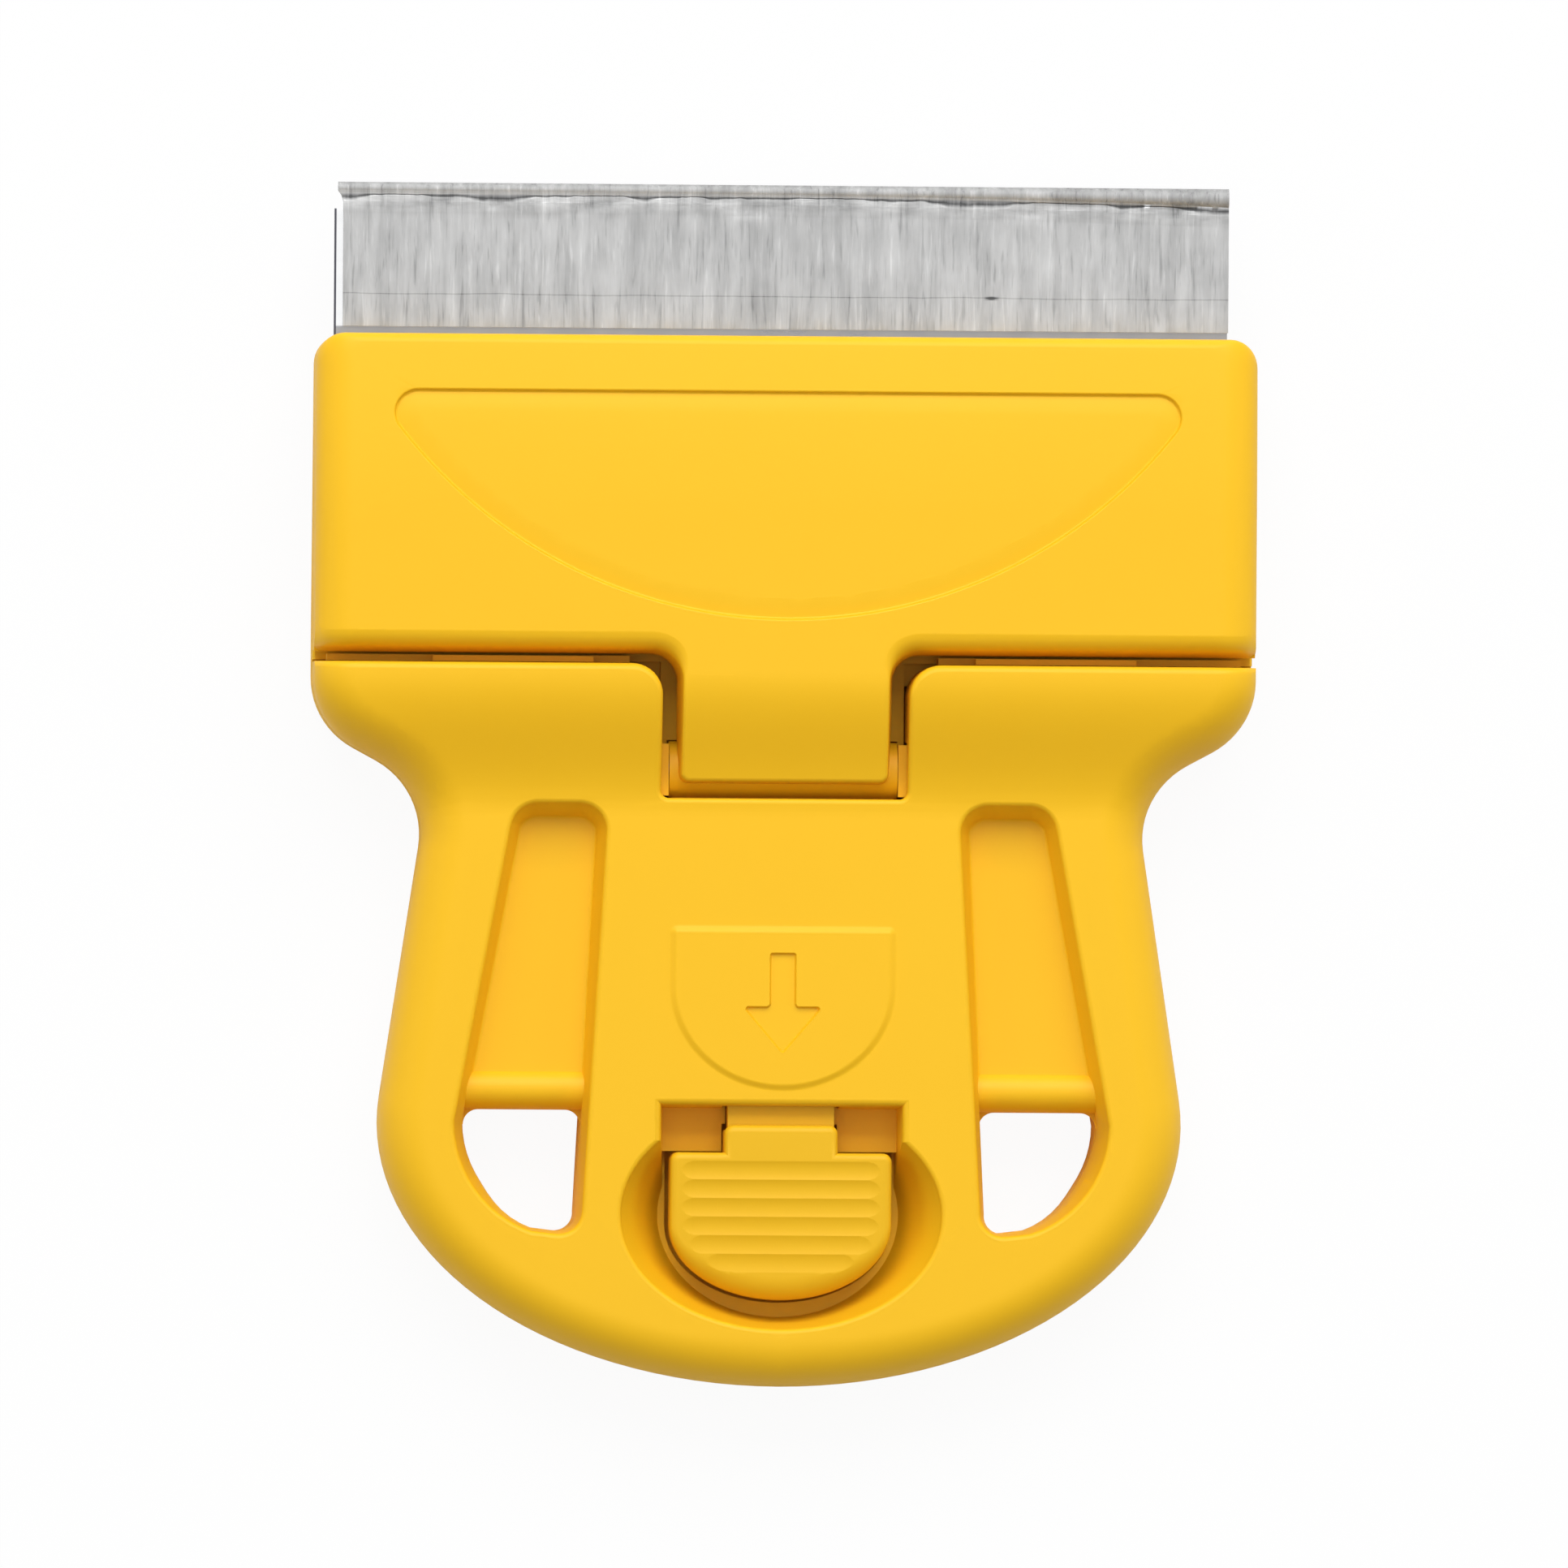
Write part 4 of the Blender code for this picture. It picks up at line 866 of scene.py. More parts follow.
def bar(side):
    """The rounded cross bar between a window's recess and its hole."""
    profile = [(BAR_Y + BAR_HALF, STRETCH_LOW_Z)]
    profile += arc(BAR_Y, BAR_Z, BAR_HALF, BAR_HEIGHT, 0, 180)
    profile.append((BAR_Y - BAR_HALF, STRETCH_LOW_Z))
    return side_profile("bar", profile, *spread(side, WINDOW_INNER_TOP_X, WINDOW_OUTER_LOW_X))


def raised_shield():
    points = shield_outline()
    rings = [level(inset(points, -SHIELD_EDGE), HANDLE_HEIGHT - WALL / 2)]
    rings.append(level(inset(points, -SHIELD_EDGE), HANDLE_HEIGHT - TINY))
    for step in range(RIM_STEPS + 1):
        share = step / RIM_STEPS
        reach = SHIELD_EDGE * (2 * share - 1)
        rings.append(level(inset(points, reach), HANDLE_HEIGHT + SHIELD_RAISE * smooth(share)))
    return drawn("shield", rings)


def sunk_arrow():
    """The cutter of a plain arrow in the shield's face. Its walls lean outwards."""
    outline = arrow_outline()
    face_z = HANDLE_HEIGHT + SHIELD_RAISE
    rings = [level(inset(outline, ARROW_DRAFT), face_z - ARROW_DEPTH), level(outline, face_z)]
    rings.append(level(inset(outline, -ARROW_DRAFT), face_z + ARROW_DEPTH))
    return drawn("arrow", rings)


def screw_rods(name, radius, low, high):
    """One upright rod on the line of each screw."""
    return [upright_rod(name, x, y, radius, low, high, SCREW_SIDES) for x, y in SCREW_PLACES]


def handle_hollow(low, high):
    """The space inside the shells' outer walls, up to the shoulders."""
    return cut(plate("hollow", inset(body_outline(), WALL), low, high), past_y(SHOULDER_Y - WALL))


def arm_outline():
    root = HUB_HALF - GAP
    right = [(ARM_HALF, ARM_END_Y), (ARM_HALF, ARM_TAPER_Y), (root, ARM_ROOT_Y), (root, HINGE_Y)]
    return right + mirrored(right)


def ears(gap, low, high):
    """The two ears that hold the hinge pin, or the room for them."""
    made = []
    along = EAR_LENGTH / 2 + gap
    for side in SIDES:
        left, right = spread(side, EAR_INNER_X - gap, EAR_INNER_X + EAR_THICKNESS + gap)
        made.append(block("ear", (left, HINGE_Y - along, low), (right, HINGE_Y + along, high)))
    return made


def pin_bore():
    return rod("pin_bore", (0, HINGE_Y, HINGE_Z), BORE_RADIUS, BORE_LENGTH, "X")


def well_shelf():
    """The ledge round the button, low in the well, and the higher ledge beside its neck."""
    low = SHELF_Z - WELL_WALL
    shelf = plate("shelf", inset(well_outline(), -GAP), low, SHELF_Z)
    top = BUTTON_TOP_Y + SHELF_GAP
    side = WELL_HALF + GAP
    join(shelf, block("neck_shelf", (-side, top, low), (side, WELL_TOP_Y + GAP, NECK_SHELF_Z)))
    half = BUTTON_HALF + SHELF_GAP
    end = arc(0, BUTTON_ROUND_Y, half, BUTTON_ROUND_Y - BUTTON_END_Y + SHELF_GAP, 180, 360, FINE_TURN)
    neck = NECK_HALF + SHELF_GAP
    neck_top = NECK_TOP_Y + SHELF_GAP
    link = ARM_HALF + SHELF_GAP
    past = WELL_TOP_Y + MARGIN
    right = [(half, top), (neck, top), (neck, neck_top), (link, neck_top), (link, past)]
    room = end + right + mirrored(right)
    rings = [level(inset(room, -SHELF_DRAFT), 0), level(room, NECK_SHELF_Z), level(room, HANDLE_HEIGHT)]
    return cut(shelf, drawn("shelf_room", rings))


def front_hollow():
    """The space under the front shell's face, round the walls of the well, the notch and the windows."""
    below = STRETCH_LOW_Z - MARGIN
    deeper = below - MARGIN
    hollow = handle_hollow(below, BRIDGE_UNDERSIDE_Z)
    around = [inset(well_outline(), -WELL_WALL)]
    around.append(scoop_outline(SCOOP_HALF_WIDTH + GAP, SCOOP_HALF_LENGTH + GAP))
    for points in around:
        cut(hollow, plate("well_block", points, deeper, HANDLE_HEIGHT))
    low_corner = (-NOTCH_HALF - WALL, NOTCH_Y - WALL, deeper)
    cut(hollow, block("notch_block", low_corner, (NOTCH_HALF + WALL, FAR, HANDLE_HEIGHT)))
    for points in window_outlines():
        cut(hollow, plate("window_block", inset(points, -WINDOW_WALL), deeper, HANDLE_HEIGHT))
    return cut(hollow, *screw_rods("boss", BOSS_RADIUS, deeper, HANDLE_HEIGHT))


def front_cover():
    shell = front_form("front_cover")
    cut(shell, edge_cutter("notch", past_shoulder_outline(), SHOULDER_Y, SHOULDER_RIM, NOTCH_RIM))
    for points in window_outlines():
        cut(shell, window_recess(points), window_hole(points, BAR_Y))
    raise_front(shell)
    cut(shell, front_hollow())
    join(shell, plate("well_skirt", inset(well_outline(), -WELL_WALL), WALL + GAP, STRETCH_LOW_Z + MARGIN))
    cut(shell, scoop(), well())
    join(shell, bar(1), bar(-1))
    cut(shell, plate("tunnel", inset(arm_outline(), -2 * GAP), 0, BRIDGE_UNDERSIDE_Z))
    join(shell, well_shelf())
    for points in window_outlines():
        join(shell, *hole_corners(points))
    side = HUB_HALF + GAP
    cut(shell, block("hub_room", (-side, ARM_ROOT_Y - WALL, 0), (side, HINGE_Y, BRIDGE_UNDERSIDE_Z)))
    cut(shell, *ears(GAP, 0, EAR_TOP_Z + GAP))
    cut(shell, *screw_rods("pilot", SCREW_RADIUS + SHEET_GAP, 0, SCREW_TIP_Z + GAP))
    join(shell, raised_shield())
    return cut(shell, sunk_arrow())


def rear_form(name):
    """The whole back of the tool, with rounded edges and the head lifted to the mouth."""
    points = body_outline()
    radii = [mix(REAR_EDGE, REAR_HEAD_EDGE, towards_head(y)) for _, y in points]
    rings = rounded_rings(points, radii, 0.0, 1)[::-1]
    rings += [level(points, SEAT_Z - PARTING_EDGE), level(inset(points, PARTING_EDGE), SEAT_Z)]
    body = drawn(name, rings)
    lift_start = BODY_LENGTH - REAR_LIFT_LENGTH
    slice_along(body, [lift_start])
    for vert in body.data.vertices:
        along = max(0.0, vert.co.y - lift_start) / REAR_LIFT_LENGTH
        vert.co.z += REAR_LIFT * along * (1 - vert.co.z / SEAT_Z)
    return body


def rear_hollow():
    """The space inside the rear shell, round the walls of the two holes and the screws' bosses."""
    hollow = handle_hollow(WALL, SEAT_Z)
    for points in window_outlines():
        around = plate("hole_block", inset(hole_outline(points), -WINDOW_WALL), 0, HANDLE_HEIGHT)
        cut(hollow, cut(around, past_y(REAR_HOLE_TOP_Y + WINDOW_WALL)))
    return cut(hollow, *screw_rods("boss", BOSS_RADIUS, 0, HANDLE_HEIGHT))


def gap_floors(shell):
    """The two stop pads, the groove between and beside them, and the floors along the shoulders."""
    near = PAD_X - PAD_WIDTH / 2
    far = PAD_X + PAD_WIDTH / 2
    for side in SIDES:
        left, right = spread(side, near, far)
        join(shell, block("pad", (left, FLOOR_START_Y, GROOVE_Z), (right, PAD_END_Y, PAD_Z)))
    for left, right in ((-FAR, -far), (-near, near), (far, FAR)):
        end_y = GROOVE_START_Y + GROOVE_LENGTH
        cut(shell, block("groove", (left, GROOVE_START_Y, GROOVE_Z), (right, end_y, FAR)))
    for side in SIDES:
        left, right = spread(side, NOTCH_HALF + TONGUE_BLEND, GAP_FLOOR_END_X)
        low_corner = (left, FLOOR_START_Y, GROOVE_Z - MARGIN)
        join(shell, block("gap_floor", low_corner, (right, GAP_FLOOR_END_Y, GAP_FLOOR_Z)))


def slot_floors(shell):
    """The floors beside the jaw's tongue, seen through the notch."""
    inside = TONGUE_HALF - MARGIN
    beside_hub = HUB_HALF + SHEET_GAP
    outside = NOTCH_HALF - SHEET_GAP
    past = SHOULDER_Y + MARGIN
    right = [(outside, HINGE_Y), (outside, past), (inside, past), (inside, SLOT_FLOOR_START_Y)]
    right += [(beside_hub, SLOT_FLOOR_START_Y), (beside_hub, HINGE_Y)]
    for points in (right, mirrored(right)):
        join(shell, plate("slot_floor", points, WALL / 2, SLOT_FLOOR_Z))


def rear_jaw(shell):
    """The pockets between the rear jaw's ribs, and the two stops behind the blade."""
    ribs = [0.0, BLADE_STOP_X - BLADE_STOP_WIDTH / 2 - RIB, HEAD_HALF - JAW_WALL + RIB / 2]
    for near, far in zip(ribs, ribs[1:]):
        for side in SIDES:
            left, right = spread(side, near + RIB / 2, far - RIB / 2)
            cut(shell, block("tray", (left, TRAY_START_Y, TRAY_Z), (right, TRAY_END_Y, FAR)))
    back = BLADE_BACK_Y - GAP
    top = SEAT_Z + BLADE_STOP_HEIGHT
    for side in SIDES:
        left = side * BLADE_STOP_X - BLADE_STOP_WIDTH / 2
        low_corner = (left, back - BLADE_STOP_THICKNESS, SEAT_Z - MARGIN)
        join(shell, block("blade_stop", low_corner, (left + BLADE_STOP_WIDTH, back, top)))


def rear_cover():
    shell = rear_form("rear_cover")
    high = PARTING_Z - GAP / 2
    cut(shell, block("handle_top", (-FAR, -FAR, high), (FAR, SHOULDER_Y + GAP, FAR)))
    cut(shell, rear_hollow())
    for points in window_outlines():
        cut(shell, window_hole(points, REAR_HOLE_TOP_Y))
    join(shell, *ears(0, WALL / 2, EAR_TOP_Z))
    cut(shell, pin_bore())
    sink = SCREW_SINK + SCREW_HEAD_HEIGHT + GAP
    cut(shell, *screw_rods("head_room", SCREW_HEAD_RADIUS + GAP, -sink, sink))
    cut(shell, *screw_rods("screw_hole", SCREW_RADIUS + GAP, -HANDLE_HEIGHT, HANDLE_HEIGHT))
    post_radius = SPRING_RADIUS - SPRING_WIRE - GAP
    join(shell, upright_rod("post", 0, SPRING_Y, post_radius, WALL / 2, WALL + SPRING_POST_HEIGHT))
    gap_floors(shell)
    slot_floors(shell)
    rear_jaw(shell)
    return shell


def crescent():
    """The cutter of the crescent recess. Its floor dips a little towards its outline."""
    points = crescent_outline()
    floor_z = HANDLE_HEIGHT - CRESCENT_DEPTH
    rings = [level(inset(points, reach), floor_z - CRESCENT_DIP * share) for reach, share in CRESCENT_FLOOR]
    return drawn("crescent", rings + rim_rings(points, CRESCENT_RIM, HANDLE_HEIGHT)[1:])


def jaw_plate():
    jaw = front_form("jaw_plate")
    cut(jaw, crescent())
    cut(jaw, edge_cutter("below_jaw", below_jaw_outline(), JAW_LOW_Y, JAW_RIM, TONGUE_RIM, JAW_DRAFT))
    raise_front(jaw)
    cut(jaw, block("underside", (-FAR, -FAR, -FAR), (FAR, FAR, JAW_UNDERSIDE_Z)))
    cut(jaw, block("under_tongue", (-FAR, -FAR, -FAR), (FAR, JAW_LOW_Y - GAP, TONGUE_UNDERSIDE_Z)))
    edge = HEAD_HALF - JAW_WALL + RIB / 2
    walls = [-edge, *RIB_PLACES, edge]
    for left, right in zip(walls, walls[1:]):
        low_corner = (left + RIB / 2, JAW_LOW_Y + JAW_WALL, 0)
        cut(jaw, block("jaw_pocket", low_corner, (right - RIB / 2, BODY_LENGTH - JAW_LIP, JAW_ROOF_Z)))
    arm = plate("arm", arm_outline(), ARM_LOW_Z, ARM_TOP_Z)
    cut(arm, block("arm_root", (-FAR, ARM_ROOT_Y, ARM_ROOT_TOP_Z), (FAR, TONGUE_END_Y + GAP, FAR)))
    join(jaw, arm, rod("hub", (0, HINGE_Y, HINGE_Z), HUB_RADIUS, HUB_HALF * 2, "X", HUB_SIDES))
    cut(jaw, pin_bore())
    return cut(jaw, rod("peg_hole", (0, PEG_Y, ARM_LOW_Z), PEG_RADIUS + GAP, PEG_HOLE_LENGTH, "Z"))


def rounded_top(name, points, radii, low, high):
    """A solid with an edge rounded by a radius of its own at each point."""
    return drawn(name, [level(points, low)] + rounded_rings(points, radii, high, -1))


def ridge_half_length(y):
    depth = BUTTON_ROUND_Y - BUTTON_END_Y
    below = max(0.0, BUTTON_ROUND_Y - (y - RIDGE_PITCH / 2)) / depth
    return BUTTON_HALF * math.sqrt(max(0.0, 1 - below * below)) - RIDGE_MARGIN


def valley(y):
    """The cutter of one valley between two ridges. It fades out towards both of its ends."""
    half_pitch = RIDGE_PITCH / 2
    radius = (half_pitch ** 2 + RIDGE_DEPTH ** 2) / (2 * RIDGE_DEPTH)
    half_length = ridge_half_length(y)
    right = []
    for step in range(RIM_STEPS + 1):
        share = step / RIM_STEPS
        x = half_length - VALLEY_FADE * (1 - share)
        right.append((x, radius - RIDGE_DEPTH * smooth(share) - TINY * step))
    rings = []
    for x, ring_radius in [(-x, size) for x, size in reversed(right)] + right:
        circle = arc(y, BUTTON_Z - RIDGE_DEPTH + radius, ring_radius, ring_radius, 0, 360, FINE_TURN)[:-1]
        rings.append([(x, ring_y, ring_z) for ring_y, ring_z in circle])
    return drawn("valley", rings)


def ribbed_button():
    points = button_outline()
    length = BUTTON_ROUND_Y - BUTTON_END_Y
    radii = [mix(BUTTON_EDGE, BUTTON_END_EDGE, smooth((BUTTON_ROUND_Y - y) / length)) for _, y in points]
    button = rounded_top("ribbed_button", points, radii, BUTTON_LOW_Z, BUTTON_Z)
    neck = neck_outline()
    join(button, rounded_top("neck", neck, [BUTTON_EDGE] * len(neck), BUTTON_LOW_Z, BUTTON_Z))
    for index in range(VALLEY_COUNT):
        cut(button, valley(BUTTON_TOP_Y - FIRST_VALLEY - RIDGE_PITCH * (index + 1 / 2)))
    for vert in button.data.vertices:
        down = BUTTON_FALL * max(0.0, BUTTON_TOP_Y - vert.co.y) / (BUTTON_TOP_Y - BUTTON_END_Y)
        vert.co.z -= down * (vert.co.z - BUTTON_LOW_Z) / (BUTTON_Z - BUTTON_LOW_Z)
    slot_half = ARM_HALF + GAP
    slot_top = ARM_TOP_Z + GAP
    cut(button, block("arm_slot", (-slot_half, ARM_END_Y - GAP, 0), (slot_half, FAR, slot_top)))
    pocket_radius = SPRING_RADIUS + SPRING_POCKET_GAP
    cut(button, upright_rod("pocket", 0, SPRING_Y, pocket_radius, 0, SPRING_POCKET_TOP))
    return join(button, upright_rod("peg", 0, PEG_Y, PEG_RADIUS, ARM_LOW_Z, slot_top + GAP))


def blade_strip():
    half = BLADE_HALF_THICKNESS
    ground = BLADE_EDGE_Y - BLADE_BEVEL
    profile = [(BLADE_BACK_Y, -half), (ground, -half), (BLADE_EDGE_Y, -BLADE_SHARP)]
    profile += [(y, -z) for y, z in reversed(profile)]
    profile = [(y, z + BLADE_Z) for y, z in profile]
    return side_profile("blade_strip", profile, BLADE_X - BLADE_HALF, BLADE_X + BLADE_HALF)


def bead_radius(along):
    """The rolled bead's radius, from the left end at 0 to the looser right end at 1."""
    loose = mix(along ** BEAD_LOOSENS, along, BEAD_EVEN_SHARE)
    return mix(GUARD_BEAD_RADIUS, GUARD_END_BEAD_RADIUS, loose)


def guard_section(bead):
    """The guard's section as y and z points: two flat flanges and a rolled bead of one radius."""
    bead_y = GUARD_TOP_Y - bead
    section = []
    for reach, radius in ((GUARD_INNER + GUARD_SHEET, bead), (GUARD_INNER, bead - GUARD_SHEET)):
        last = math.pi - math.asin(reach / radius)
        turns = [last * (2 * step / BEAD_STEPS - 1) for step in range(BEAD_STEPS + 1)]
        rolled = [(bead_y + radius * math.cos(turn), radius * math.sin(turn)) for turn in turns]
        length = rolled[0][0] - GUARD_START_Y
        flat = [(GUARD_START_Y + length * step / FLANGE_STEPS, -reach) for step in range(FLANGE_STEPS)]
        side = flat + rolled + [(y, -z) for y, z in reversed(flat)]
        section += side if reach > GUARD_INNER else side[::-1]
    return section


def pushed(x, y, across, along, place, depth):
    return depth * noise.noise(Vector((x * across, y * along, place)))


def crinkle(x, y):
    """How far the thin sheet is pushed in or out at a place."""
    near_bead = smooth(1 - abs(y - FOLD_Y) / FOLD_HALF)
    folds = sum(pushed(x, y, *fold) for fold in BEAD_FOLDS)
    return pushed(x, y, *FINE_CRINKLE) + pushed(x, y, *BROAD_CRINKLE) + folds * near_bead


def sheet_guard():
    rings = []
    for index in range(GUARD_SLICES + 1):
        along = index / GUARD_SLICES
        bead = bead_radius(along)
        ring = []
        for y, z in guard_section(bead):
            flat = smooth((GUARD_TOP_Y - BEAD_FOOT * bead - y) / bead)
            x = GUARD_X + GUARD_HALF * (2 * along - 1) - GUARD_BEAD_PAST * (1 - flat) * (1 - along)
            held = smooth((y - GUARD_START_Y) / GUARD_LIP)
            ring.append((x, y, BLADE_Z + z + crinkle(x, y) * flat * held))
        rings.append(ring)
    return in_triangles(drawn("sheet_guard", rings))


def back_screw():
    """One screw with a domed and cross-slotted head, standing at the middle."""
    points = arc(0, 0, SCREW_HEAD_RADIUS, SCREW_HEAD_RADIUS, 0, 360, ROUND_TURN)[:-1]
    dome = ((SCREW_EDGE, 0), (SCREW_EDGE_BEND, SCREW_EDGE_BEND), (0, SCREW_EDGE), (0, SCREW_HEAD_HEIGHT))
    rings = [level(inset(points, reach), SCREW_SINK + rise) for reach, rise in dome]
    screw = drawn("back_screw", rings)
    shank_low = SCREW_SINK + SCREW_HEAD_HEIGHT / 2
    join(screw, upright_rod("shank", 0, 0, SCREW_RADIUS, shank_low, SCREW_TIP_Z, SCREW_SIDES))
    reach = SCREW_SLOT_LENGTH / 2
    half = SCREW_SLOT / 2
    cut(screw, block("slot", (-reach, -half, -MARGIN), (reach, half, shank_low)))
    return cut(screw, block("slot", (-half, -reach, -MARGIN), (half, reach, shank_low)))


def wound_spring():
    """The closing spring: one wire wound from the rear shell's floor up into the button."""
    half_wire = SPRING_WIRE / 2
    radius = SPRING_RADIUS - half_wire
    count = SPRING_TURNS * SPRING_STEPS
    rings = []
    for step in range(count + 1):
        turn = 2 * math.pi * step / SPRING_STEPS
        rise = mix(SPRING_LOW_Z + half_wire, SPRING_HIGH_Z - half_wire, step / count)
        wire = arc(radius, rise, half_wire, half_wire, 0, 360, WIRE_TURN)[:-1]
        rings.append([(out * math.cos(turn), SPRING_Y + out * math.sin(turn), z) for out, z in wire])
    return drawn("wound_spring", rings)


# Materials

# Patterns of noise: fineness, stretch along x, y and z, detail, roughness and distortion
EVEN = (1.0, 1.0, 1.0)
NOISE_MIDDLE = 0.5
MELT_FLOW = (28.0, (1.0, 0.5, 1.0), 2.0)
MELT_CLOUD = (160.0, EVEN, 2.0)
SATIN_GRAIN = (5200.0, EVEN, 2.0)
ORANGE_PEEL = (900.0, EVEN, 1.0)
BRUSHED = (900.0, (0.04, 1.0, 1.0), 4.0)
ZINC_STAIN = (120.0, EVEN, 2.0)
BLADE_STAIN = (300.0, EVEN, 2.0)
WIRE_STAIN = (700.0, EVEN, 2.0)
FLOOR_CLOUD = (3.0, EVEN, 3.0)
FOIL_PATTERNS = {
    "fine": (2300.0, (1.0, 0.07, 1.0), 3.0, 0.6, 0.35),
    "broad": (620.0, (1.0, 0.10, 1.0), 4.0, 0.6, 0.3),
    "dents": (420.0, (1.0, 0.6, 1.0), 3.0),
    "folds": (700.0, (0.35, 1.0, 1.0), 3.0),
    "cloud": (60.0, EVEN, 2.0),
    "grain": (5200.0, (1.0, 0.4, 1.0), 2.0),
    "sway": (75.0, (1.0, 0.0, 0.0), 3.0),
    "ripple": (420.0, (1.0, 0.0, 0.0), 2.0),
}

# Colours, as red, green and blue
YELLOWS = ((0.900, 0.500, 0.007), (0.920, 0.530, 0.011))
# How much darker the button's copy of the yellow is: painted shade
BUTTON_SHADE = 0.92
ZINCS = ((0.5456, 0.558, 0.5766), (0.62, 0.62, 0.6262))
FOILS = ((0.10, 0.101, 0.102), (0.88, 0.88, 0.875))
BRIGHT_STEELS = ((0.86, 0.87, 0.88), (0.96, 0.96, 0.96))
# Dull bluish dark steel for the blade's band by the jaw: painted shade
SHADE_BAND_STEELS = ((0.30, 0.315, 0.35), (0.40, 0.415, 0.45))
# Near-black along the blade's left end: painted shade of its edge
END_SHADE = (0.10, 0.10, 0.12)
WIRES = ((0.42, 0.42, 0.43), (0.55, 0.55, 0.55))
PALE_FLOOR = ((0.84, 0.84, 0.84), (0.86, 0.86, 0.86))
WHITE = (1.0, 1.0, 1.0, 1.0)

# What the patterns add to a tone, a roughness or a height
MELT_TONE = {"flow": 0.7, "cloud": 0.3}
SATIN_ROUGHNESS = {"grain": 0.10, "cloud": 0.08, "base": 0.40}
SATIN_HEIGHT = {"grain": 0.5, "peel": 0.5}
SATIN_BUMP = (0.00002, 0.35)
SATIN_SHEEN = 0.28
PLASTIC_IOR = 1.5
ZINC_TONE = {"brush": 0.6, "stain": 0.4}
ZINC_ROUGHNESS = {"brush": 0.12, "stain": 0.06, "base": 0.22}
BLADE_ROUGHNESS = {"brush": 0.08, "stain": 0.05, "blued": 0.15, "base": 0.08}
BRUSH_BUMP = (0.00001, 0.3)
WIRE_ROUGHNESS = {"stain": 0.15, "base": 0.28}
FLOOR_ROUGHNESS = 0.9
# Tone of the guard sheet, mostly painted light and shade: broad, dents and folds are lighter where the
# crinkles stand up, partly random tone and partly painted highlight; the crinkle lines paint shade and the
# crinkle highlight paints light; near_bead, crease, score and nick paint shade; on_bead paints the bead
# lighter; cloud is random tone
FOIL_TONE = {
    "broad": 0.55, "dents": 0.25, "cloud": 0.2, "crinkle_highlight": 0.16, "crinkle_shade_lines": -0.17, "folds": 0.9,
    "near_bead": -0.45, "on_bead": 0.06, "crease": -0.55, "score": -0.22, "nick": -0.9,
}
FOIL_ROUGHNESS = {"grain": 0.12, "cloud": 0.08, "on_bead": 0.46, "base": 0.24}
FOIL_HEIGHT = {"fine": 0.5, "broad": 0.5, "dents": 0.5, "folds": 1.2, "crease": -0.3}
FOIL_BUMP = (0.00010, 0.55)

# Blade: where its painted shade band by the jaw and its painted dark shade line along the left end lie,
# measured from the frame's middle
SHADE_BAND_END_Y = GUARD_START_Y - GUARD_TOP_Y / 2 + 0.1 * MM
SHADE_BAND_FADE = 0.2 * MM
END_SHADE_X = BLADE_X - BLADE_HALF + 0.28 * MM
END_SHADE_FADE = 0.08 * MM

# Guard sheet: its painted crinkle shade lines and highlights, the painted shade in the crease and band below
# the bead, the fade of the bead's painted lighter tone, and the scored line and the nick painted dark as
# shade, from the frame's middle
CRINKLE_SHADE_BELOW = 0.44
CRINKLE_SHADE_GAIN = 7.0
CRINKLE_HIGHLIGHT_ABOVE = 0.57
CRINKLE_HIGHLIGHT_GAIN = 6.0
SAG_ABOVE = 0.47
SAG_GAIN = 7.0
CREASE_LIFT = 0.12 * MM
CREASE_SAG = 0.35 * MM
CREASE_RIPPLE = 0.25 * MM
CREASE_HALF = 0.10 * MM
CREASE_WIDENS = 0.42 * MM
SCORE_Y = 122.1 * MM - GUARD_TOP_Y / 2
SCORE_HALF = 0.10 * MM
SCORE_RIPPLE = 0.12 * MM
SCORE_SWAY = 0.5 * MM
NICK_X = 23.1 * MM
NICK_HALF_LENGTH = 0.9 * MM
NICK_HALF_WIDTH = 0.28 * MM
BELOW_BEAD = 0.8 * MM
BELOW_BEAD_HALF = 1.3 * MM
BEAD_FADE = 0.2 * MM


class Number:
    """A socket that carries a number and takes part in sums."""

    def __init__(self, finish, socket):
        self.finish = finish
        self.socket = socket

    def __add__(self, other):
        return self.finish.maths("ADD", self, other)

    def __sub__(self, other):
        return self.finish.maths("SUBTRACT", self, other)

    def __mul__(self, other):
        return self.finish.maths("MULTIPLY", self, other)

    def __rsub__(self, other):
        return self.finish.maths("SUBTRACT", other, self)

    __radd__ = __add__


